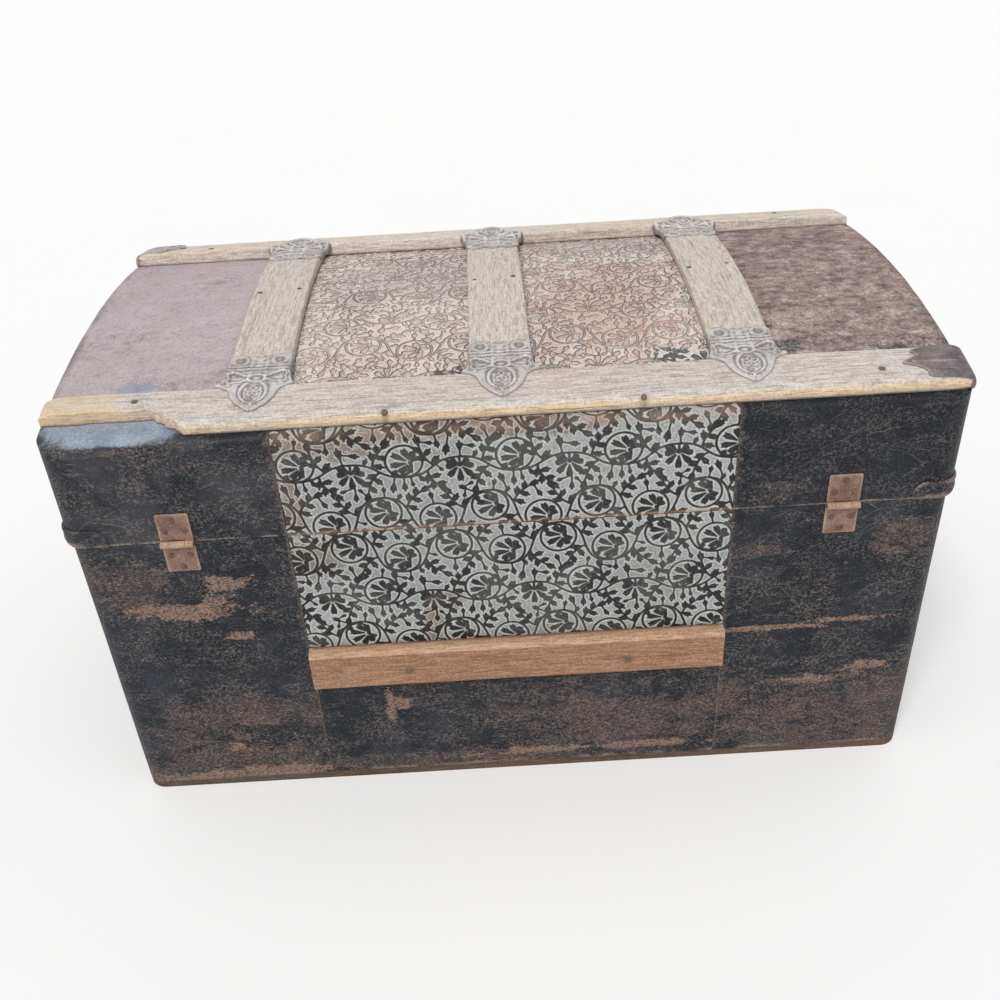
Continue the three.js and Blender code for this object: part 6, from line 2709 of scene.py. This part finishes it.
@dataclass
class EndHandles:
    """A leather handle on each end, held by two stamped caps."""

    leather: Leather
    steel: Steel
    form: TrunkForm = FORM
    height: float = 232.0
    span: float = 176.0
    bow: float = 26.0
    width: float = 30.0
    thickness: float = 5.0
    cap_width: float = 46.0
    cap_length: float = 38.0
    cap_thickness: float = 2.0

    def offset(self, y: np.ndarray) -> np.ndarray:
        """How far the strap's middle stands off the end."""
        grip = self.span / 2
        arch = self.bow / 2 * (1 + np.cos(math.pi * np.clip(y / grip, -1, 1)))
        return self.form.fit + self.thickness / 2 + arch

    def strap(self, end: End) -> None:
        """Builds one leather strap.

        Args:
            end: which end.
        """
        form = self.form
        reach = self.span / 2 + self.cap_length - 5.6
        places = np.linspace(-reach, reach, 121)
        half = self.width / 2
        outline, edge = [], []
        for angle in np.linspace(0, TAU, 45)[:-1]:
            cos, sin = math.cos(angle), math.sin(angle)
            across = math.copysign(abs(cos) ** 0.28, cos)
            out = math.copysign(abs(sin) ** 0.55, sin)
            outline.append((across * half, out * self.thickness / 2))
            edge.append(abs(across) ** 16)
        outline = np.array(outline)
        grid = np.zeros((len(places), len(outline), 3))
        slope = np.gradient(self.offset(places), places)
        tilt = joined(np.ones_like(slope), -slope) / np.hypot(1, slope)[:, None]
        crease = noise_at(161, places / 7, 0, end.value)
        rub = noise_at(162, places / 26, 0, end.value)
        narrow = 1 - 0.05 * ease(np.abs(places), 60, 20) + 0.012 * rub
        for index, (across, out) in enumerate(outline):
            furrow = -0.4 * float(ridge(abs(across) - half + 3.6, 0.8)) if out > 0 else 0.0
            swell = out * (1 + 0.22 * ease(np.abs(places), 50, 10)) + furrow + 0.12 * crease * (out > 0)
            grid[:, index, 0] = (form.body_half + self.offset(places) + tilt[:, 0] * swell) * end.value
            grid[:, index, 1] = places + tilt[:, 1] * swell
            grid[:, index, 2] = self.height + across * narrow
        worn = np.tile(np.array(edge), (len(places), 1)) * (0.6 + 0.4 * rub[:, None])
        line = ridge(np.abs(outline[:, 0]) - half + 3.6, 0.7) * (outline[:, 1] > 0)
        dash = (np.mod(places / 3.4, 1.0) < 0.62).astype(float)
        draft = MeshDraft()
        loft(draft, grid, worn=np.clip(worn, 0, 1), stitch=dash[:, None] * line[None, :])
        draft.settle(
            f"handle_{end.word}_strap_leather", self.leather, Body.BODY, Slot.LEATHER,
            f"handle_strap_{end.word}", sharp=60,
        )

    def cap(self, end: End, face: Face) -> None:
        """Builds one stamped cap over an end of the strap.

        Args:
            end: which end of the trunk.
            face: which end of the strap.
        """
        form = self.form
        mouth = self.span / 2
        rows, columns = 34, 45
        share = np.linspace(0, 1, rows)[:, None]
        across = np.linspace(-1, 1, columns)[None, :]
        half = self.cap_width / 2
        from_far = (1 - share) * self.cap_length
        inset = 12 - np.sqrt(np.clip(144 - np.clip(12 - from_far, 0, 12) ** 2, 0, None))
        z = across * (half - inset)
        y = mouth + share * self.cap_length + z * 0
        slot = form.fit * 2 + self.thickness
        inside = ease(np.abs(z), 20.0, 15.6) * ease(from_far, 4.0, 8.5)
        lift = 1.6 + (slot + self.cap_thickness - 1.6) * inside
        bars = 0.7 * ridge(share - 0.12, 0.05) + 0.6 * ridge(share - 0.28, 0.05)
        star = np.hypot(z / 8, (y - mouth - 20) / 8)
        rays = np.cos(6 * np.arctan2(z, y - mouth - 20)) * ease(star, 1.5, 0.9) * ease(star, 0.3, 0.8)
        boss = 1.0 * ease(star, 1.0, 0.35) + 0.4 * rays
        lift = lift + (bars + boss) * inside
        height = form.body_half + form.fit + np.maximum(lift, 1.4)
        under = np.maximum(height - 1.5, form.body_half + form.fit * 0.3)
        outer = joined(height * end.value, y * face.value, self.height + z)
        inner = joined(under * end.value, y * face.value, self.height + z)
        # Lighter on the stamping and the raised middle, wear with a painted highlight; darker on the slope up
        # to the raised middle, painted shade with patina.
        proud = np.clip(ease(bars + boss, 0.2, 0.9) * inside + 0.3 * ease(lift, 2, 7), 0, 1)
        hollow = ease(inside, 0.0, 0.3) * ease(inside, 0.7, 0.3) * 0.9
        draft = MeshDraft()
        closed_plate(draft, outer, inner, proud=proud, hollow=hollow)
        for way, spot_z in ((4.5, 19.6), (4.5, -19.6), (26, 18.2), (26, -18.2)):
            x = (form.body_half + form.fit + 1.7) * end.value
            spot = (x, (mouth + way) * face.value, self.height + spot_z)
            add_head(draft, spot, (end.value, 0, 0), 2.4, 1.3)
        draft.settle(
            f"handle_{end.word}_{face.word}_cap", self.steel, Body.BODY, Slot.CLASP,
            f"handle_cap_{end.word}_{face.word}", sharp=60,
        )

    def build(self) -> None:
        """Builds both handles."""
        for end in End:
            self.strap(end)
            for face in Face:
                self.cap(end, face)


@dataclass
class Fastenings:
    """The tacks and nails that show on the sheets and slats."""

    tack: Steel
    nail: Steel
    form: TrunkForm = FORM
    seam_heights: tuple[float, ...] = (302, 277, 241, 212, 161, 128, 92, 56, 24)
    lid_heights: tuple[float, ...] = (382, 402, 432)
    loose_tacks: tuple[Point2, ...] = ((-337, 271), (-338, 102), (342, 118), (-402, 236), (398, 66))

    def wall_heads(self, body: Body, heights: Sequence[float], extra: Sequence[Point2]) -> None:
        """Builds the tacks along the seams of the end sheets.

        Args:
            body: the body whose walls they are in.
            heights: how high each tack sits.
            extra: single tacks away from the seams.
        """
        form = self.form
        draft = MeshDraft()
        for face in Face:
            out = (0, face.value, 0)
            for sign in (1, -1):
                for index, z in enumerate(heights):
                    stray = float(noise_at(171, index * 3.7, sign * 9.1, face.value * 5.3 + z))
                    x = sign * (form.panel_half + 3.2 + 2.6 * stray)
                    spot = (x, (form.half_depth + 0.35) * face.value, z + 3 * stray)
                    add_head(draft, spot, out, 2.9, 1.4)
            for x, z in extra:
                add_head(draft, (x, (form.half_depth + 0.1) * face.value, z), out, 2.4, 1.0)
        draft.settle(f"{body.value}_seam_tacks", self.tack, body, Slot.CLASP, sharp=60)

    def slat_nails(self) -> None:
        """Builds the nails in the slats."""
        form = self.form
        draft = MeshDraft()
        for face in Face:
            for x, z in BodySlats.nails:
                y = (form.half_depth + form.fit + BodySlats.thickness) * face.value
                add_head(draft, (x, y, z), (0, face.value, 0), 3.0, 0.9)
        draft.settle("body_slat_nails", self.nail, Body.BODY, Slot.CLASP, sharp=60)
        draft = MeshDraft()
        for face in Face:
            for x, back in LidSlats.nails:
                run = form.outer_run + back
                on_round = back > -8
                height = form.fit + (11.5 if on_round else form.slat_thickness)
                run = run - (0.6 if on_round else 0)
                y, z = form.over_dome(run, height)
                lean = run / form.radius + (0.75 if on_round else 0)
                way = (0, face.value * math.sin(lean), math.cos(lean))
                add_head(draft, (x, float(y) * face.value, float(z)), way, 3.0, 0.9)
        for cross in Cross:
            for x, run in ((22, -17), (-20, -22)):
                y, z = form.over_dome(run, form.fit + form.cross_thickness)
                spot = (x + cross.value * form.cross_pitch, float(y), float(z))
                add_head(draft, spot, (0, math.sin(run / form.radius), 1), 2.6, 0.7)
        draft.settle("lid_slat_nails", self.nail, Body.LID, Slot.CLASP, sharp=60)

    def build(self) -> None:
        """Builds all tacks and nails."""
        self.wall_heads(Body.BODY, self.seam_heights, self.loose_tacks)
        self.wall_heads(Body.LID, self.lid_heights, ())
        self.slat_nails()


@dataclass
class Studio:
    """The floor, the light and the camera."""

    place: Point3 = (0.0065, 1.09801, 0.96192)
    yaw: float = math.radians(-0.122)
    pitch: float = math.radians(-34.333)
    roll: float = math.radians(-3.45)
    lens: float = 39.196
    floor_half: float = 30.0
    sky: float = 0.55
    sun: float = 1.75
    sun_angle: float = math.radians(24)

    def camera(self) -> None:
        """Sets the camera at the photograph's view."""
        data = bpy.data.cameras.new("photo_view")
        data.lens = self.lens
        data.clip_end = 100
        forward = Vector((
            -math.sin(self.yaw) * math.cos(self.pitch),
            -math.cos(self.yaw) * math.cos(self.pitch),
            math.sin(self.pitch),
        ))
        level = Vector((-math.cos(self.yaw), math.sin(self.yaw), 0))
        upright = level.cross(forward)
        right = math.cos(self.roll) * level + math.sin(self.roll) * upright
        up = -math.sin(self.roll) * level + math.cos(self.roll) * upright
        turn = Matrix((right, up, -forward)).transposed().to_4x4()
        holder = bpy.data.objects.new("photo_view", data)
        holder.matrix_world = Matrix.Translation(self.place) @ turn
        bpy.context.scene.collection.objects.link(holder)
        bpy.context.scene.camera = holder

    def floor(self) -> None:
        """Lays the pale floor."""
        half = self.floor_half
        mesh = bpy.data.meshes.new("pale_floor")
        corners = [(-half, -half, 0), (half, -half, 0), (half, half, 0), (-half, half, 0)]
        mesh.from_pydata(corners, [], [(0, 1, 2, 3)])
        made = bpy.data.materials.new("pale_floor")
        made.use_nodes = True
        made.node_tree.nodes.clear()
        graph = Graph(made.node_tree)
        cloud = graph.noise(graph.places(), 3.0, 3, 0.5)
        pale = graph.mix(cloud, tone(250, 250, 250), tone(252, 252, 251))
        shader = graph.add(
            "BsdfPrincipled", {"Base Color": pale, "Roughness": 0.9, "Specular IOR Level": 0.0},
        )
        graph.add("OutputMaterial", {"Surface": shader.outputs[0]})
        mesh.materials.append(made)
        piece = bpy.data.objects.new("pale_floor", mesh)
        bpy.context.scene.collection.objects.link(piece)

    def light(self) -> None:
        """Lights the trunk from an even sky and one soft sun."""
        world = bpy.data.worlds.new("even_sky")
        bpy.context.scene.world = world
        world.use_nodes = True
        world.node_tree.nodes.clear()
        graph = Graph(world.node_tree)
        path = graph.add("LightPath")
        seen = graph.most(path.outputs["Is Camera Ray"], path.outputs["Is Glossy Ray"])
        seen = graph.most(seen, path.outputs["Is Transmission Ray"])
        strength = graph.add("MapRange", {"Value": seen, "To Min": self.sky, "To Max": 1.0}).outputs[0]
        shade = graph.add("Background", {"Color": (1, 1, 1, 1), "Strength": strength})
        graph.add("OutputWorld", {"Surface": shade.outputs[0]})
        lamp = bpy.data.lights.new("soft_sun", "SUN")
        lamp.energy = self.sun
        lamp.angle = self.sun_angle
        holder = bpy.data.objects.new("soft_sun", lamp)
        holder.rotation_euler = (math.radians(-30), math.radians(12), 0)
        bpy.context.scene.collection.objects.link(holder)

    def build(self) -> None:
        """Sets up the whole stage."""
        bpy.context.scene.view_settings.view_transform = "Standard"
        self.camera()
        self.floor()
        self.light()


LONG_SLAT = Wood(
    "long_slat_wood", Run.ALONG, tone(213, 205, 200), tone(214, 200, 188), tone(156, 142, 131),
    tone(230, 200, 160),
    0.5, marks=(Mark((404, 190, 470), (52, 30, 30), 0.2),),
)
FAR_SLAT = Wood(
    "far_slat_wood", Run.ALONG, tone(226, 217, 210), tone(226, 211, 196), tone(168, 150, 136),
    tone(230, 206, 172),
    0.5, marks=(Mark((-400, -205, 470), (20, 26, 30), 0.2),), pale=tone(246, 238, 226),
)
CROSS_SLAT = Wood(
    "cross_slat_wood", Run.ACROSS, tone(211, 203, 197), tone(213, 200, 187), tone(158, 145, 135),
    tone(216, 197, 170), 0.4,
)
BODY_SLAT = Wood(
    "body_slat_wood", Run.ALONG, tone(166, 128, 103), tone(162, 119, 92), tone(114, 80, 60),
    tone(194, 158, 128), 0.35,
    fleck=0.8, pale=tone(204, 166, 134), bare_low=tone(158, 116, 90), bare_high=tone(218, 190, 160),
)
LINING_BOARD = Wood(
    "lining_board_wood", Run.ALONG, tone(150, 124, 92), tone(164, 130, 90), tone(112, 82, 56),
    tone(176, 142, 100), 0.35, 0.8, 0.8,
    pale=tone(184, 154, 116),
)
BASE_BOARD = Wood(
    "base_board_wood", Run.ALONG, tone(96, 82, 72), tone(104, 82, 66), tone(66, 54, 48),
    tone(120, 96, 76), 0.4, 0.8, 0.8,
    pale=tone(124, 106, 92), bare_low=tone(84, 66, 54), bare_high=tone(146, 122, 100),
)
UPRIGHT_BOARD = replace(LINING_BOARD, name="end_board_wood", run=Run.ACROSS)

BODY_ENDS = Japanned(
    "body_end_black", 0.26,
    rusty=(
        Mark((328, 235, 258), (44, 30, 10), 0.7), Mark((298, 235, 270), (20, 30, 12), 0.7),
        Mark((284, 235, 289), (20, 30, 8), 0.7),
        Mark((286, 235, 222), (12, 30, 4), 0.7), Mark((312, 235, 60), (12, 30, 6), 0.8),
        Mark((300, 235, 12), (110, 30, 9), 0.7),
        Mark((-262, 235, 190), (64, 30, 3.5), 0.5), Mark((-346, 235, 196), (40, 30, 3.5), 0.5),
        Mark((-322, 235, 112), (30, 30, 6), 0.8), Mark((-384, 235, 128), (24, 30, 6), 0.8),
    ),
    mauve=(
        Mark((-320, 235, 66), (120, 60, 60), 0.5), Mark((-392, 235, 300), (34, 40, 22), 0.5),
        Mark((-250, 235, 292), (22, 40, 6), 0.5),
        Mark((350, 235, 30), (110, 60, 40), 0.5), Mark((392, 235, 290), (60, 60, 34), 0.5),
        Mark((300, 235, 110), (80, 40, 26), 0.6),
    ),
)
BODY_LOWER = Japanned(
    "body_lower_black", 0.3,
    rusty=(
        Mark((140, 235, 104), (4, 30, 20), 0.8), Mark((126, 235, 112), (8, 30, 10), 0.8),
        Mark((-90, 235, 26), (110, 30, 4), 0.7),
    ),
    mauve=(Mark((-120, 235, 66), (100, 60, 40), 0.5), Mark((60, 235, 20), (190, 60, 14), 0.5)),
)
LID_LEFT = Japanned(
    "lid_left_black", 0.38, haze=tone(62, 62, 68), dust=0.85,
    # Bare tin along the shoulder under the broken slat, with a painted sky reflection.
    bright=(Mark((364, 222, 476), (76, 60, 21), 0.05),),
)
LID_RIGHT = Japanned(
    "lid_right_black", 0.1, mauve=(Mark((-262, 235, 366), (24, 30, 14), 0.5),), haze=tone(36, 40, 48),
    dust=0.55,
)
STRIP = Japanned("seam_strip_black", 0.34)
WALL_EMBOSSED = Embossed(
    "wall_embossed", tone(164, 168, 167), tone(144, 148, 147), tone(28, 31, 33), tone(124, 104, 88),
    0.18, 0.25,
    marks=(
        Mark((190, 235, 444), (90, 40, 12)), Mark((40, 235, 454), (110, 40, 9)),
        Mark((196, 235, 318), (30, 40, 22)),
        Mark((66, 235, 252), (20, 40, 12)), Mark((206, 235, 380), (12, 40, 40)),
        Mark((84, 235, 224), (9, 40, 20)),
    ),
    metal=0.0,
)
# The crown's strokes keep little ink and show mostly as painted shade and a painted highlight round the
# relief.
CROWN_EMBOSSED = Embossed(
    "crown_embossed", tone(230, 216, 205), tone(218, 202, 193), tone(58, 58, 58), tone(172, 148, 134),
    0.24, 0.97,
    silver_marks=(
        Mark((36, 172, 464), (26, 22, 40)), Mark((-190, 166, 464), (34, 26, 40)),
        Mark((-150, 178, 462), (60, 10, 40)),
        Mark((196, 172, 466), (34, 12, 40)), Mark((76, 182, 462), (40, 8, 40)),
    ),
    silver=tone(214, 214, 206),
    red_marks=(Mark((-108, 40, 480), (70, 90, 60), 0.5), Mark((180, 178, 470), (30, 14, 30), 0.5)),
    grey_marks=(Mark((80, -60, 480), (110, 70, 60), 0.5), Mark((-120, -150, 475), (110, 46, 60), 0.5)),
    metal=0.0, groove=tone(108, 94, 88), relief=0.0022, ink_kept=0.12, fill=0.12, outline=0.85,
)
DOME_LEFT = Rusted(
    "dome_left_rust", tone(190, 178, 182), tone(180, 168, 171),
    blue_marks=(Mark((352, 160, 470), (16, 14, 40), 0.5), Mark((400, 182, 466), (30, 6, 40), 0.5)),
)
DOME_RIGHT = Rusted(
    "dome_right_rust", tone(168, 146, 141), tone(146, 124, 121), pitted=0.34, dark=tone(98, 82, 82),
    dark_marks=(
        Mark((-335, 184, 467), (118, 15, 40), 0.5), Mark((-396, 174, 468), (44, 24, 40), 0.5),
        Mark((-284, 146, 474), (22, 12, 30), 0.7), Mark((-262, 92, 476), (10, 16, 30), 0.7),
    ),
    mottle=0.85,
)
CLASP_STEEL = Steel(
    "clasp_patina", tone(206, 203, 202), tone(176, 169, 165), tone(234, 232, 230), 0.12, 0.5, 0.3,
    tone(176, 156, 144), tone(74, 64, 60),
)
CAP_STEEL = Steel(
    "cap_patina", tone(132, 124, 126), tone(92, 84, 88), tone(186, 178, 170), 0.2, 0.55, 0.36,
    tone(130, 106, 94),
)
PALE_CAP_STEEL = Steel(
    "pale_cap_patina", tone(172, 170, 169), tone(138, 134, 132), tone(208, 206, 204), 0.2, 0.5, 0.24,
    tone(146, 128, 116),
)
HINGE_STEEL = Steel(
    "hinge_rust", tone(138, 110, 97), tone(98, 76, 68), tone(204, 170, 146), 0.0, 0.7, 0.4,
    tone(152, 114, 92),
    tone(56, 44, 40),
)
TACK_STEEL = Steel("tack_rust", tone(58, 54, 56), tone(44, 40, 42), tone(92, 82, 76), 0.1, 0.6, 0.35)
NAIL_STEEL = Steel("nail_rust", tone(84, 70, 63), tone(62, 52, 48), tone(122, 104, 92), 0.1, 0.6, 0.35)
LOCK_BRASS = Steel(
    "lock_tarnish", tone(128, 110, 78), tone(92, 78, 58), tone(184, 160, 108), 0.75, 0.42, 0.24,
    tone(96, 76, 54),
)
STRAP_LEATHER = Leather("strap_leather", tone(60, 42, 34), tone(92, 64, 48))


def dress_boards(nodes: dict[str, bpy.types.Object]) -> None:
    """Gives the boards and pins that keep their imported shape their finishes.

    Args:
        nodes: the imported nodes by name.
    """
    for name, node in nodes.items():
        if name in ("hinge_pin_left", "hinge_pin_right"):
            finish: Finish = HINGE_STEEL
        elif name == "hasp_pin":
            finish = LOCK_BRASS
        elif name == "bottom_board":
            finish = BASE_BOARD
        elif name.endswith("_board"):
            finish = UPRIGHT_BOARD if "left" in name or "right" in name else LINING_BOARD
        elif "top_board" in name:
            finish = LINING_BOARD
        else:
            continue
        node.data.materials[0] = finish.material()


def main() -> None:
    """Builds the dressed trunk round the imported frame."""
    logging.basicConfig(level=logging.INFO, format="%(message)s")
    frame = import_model()
    Studio().build()
    vine = VineTile()
    BodySheets(BODY_ENDS, BODY_LOWER, WALL_EMBOSSED, vine).build()
    LidSheets(
        {End.LEFT: LID_LEFT, End.RIGHT: LID_RIGHT}, WALL_EMBOSSED, CROWN_EMBOSSED,
        {End.LEFT: DOME_LEFT, End.RIGHT: DOME_RIGHT}, vine,
    ).build()
    LidSlats({Face.BACK: LONG_SLAT, Face.FRONT: FAR_SLAT}).build()
    CrossSlats(CROSS_SLAT).build()
    BodySlats(BODY_SLAT).build()
    Clasps(CLASP_STEEL).build()
    SlatCaps(CAP_STEEL, PALE_CAP_STEEL).build()
    Valances(STRIP).build()
    StrapHinges(HINGE_STEEL).build()
    LockAndHasp(LOCK_BRASS).build()
    EndHandles(STRAP_LEATHER, CAP_STEEL).build()
    Fastenings(TACK_STEEL, NAIL_STEEL).build()
    dress_boards(frame["nodes"])


if __name__ == "__main__":
    main()
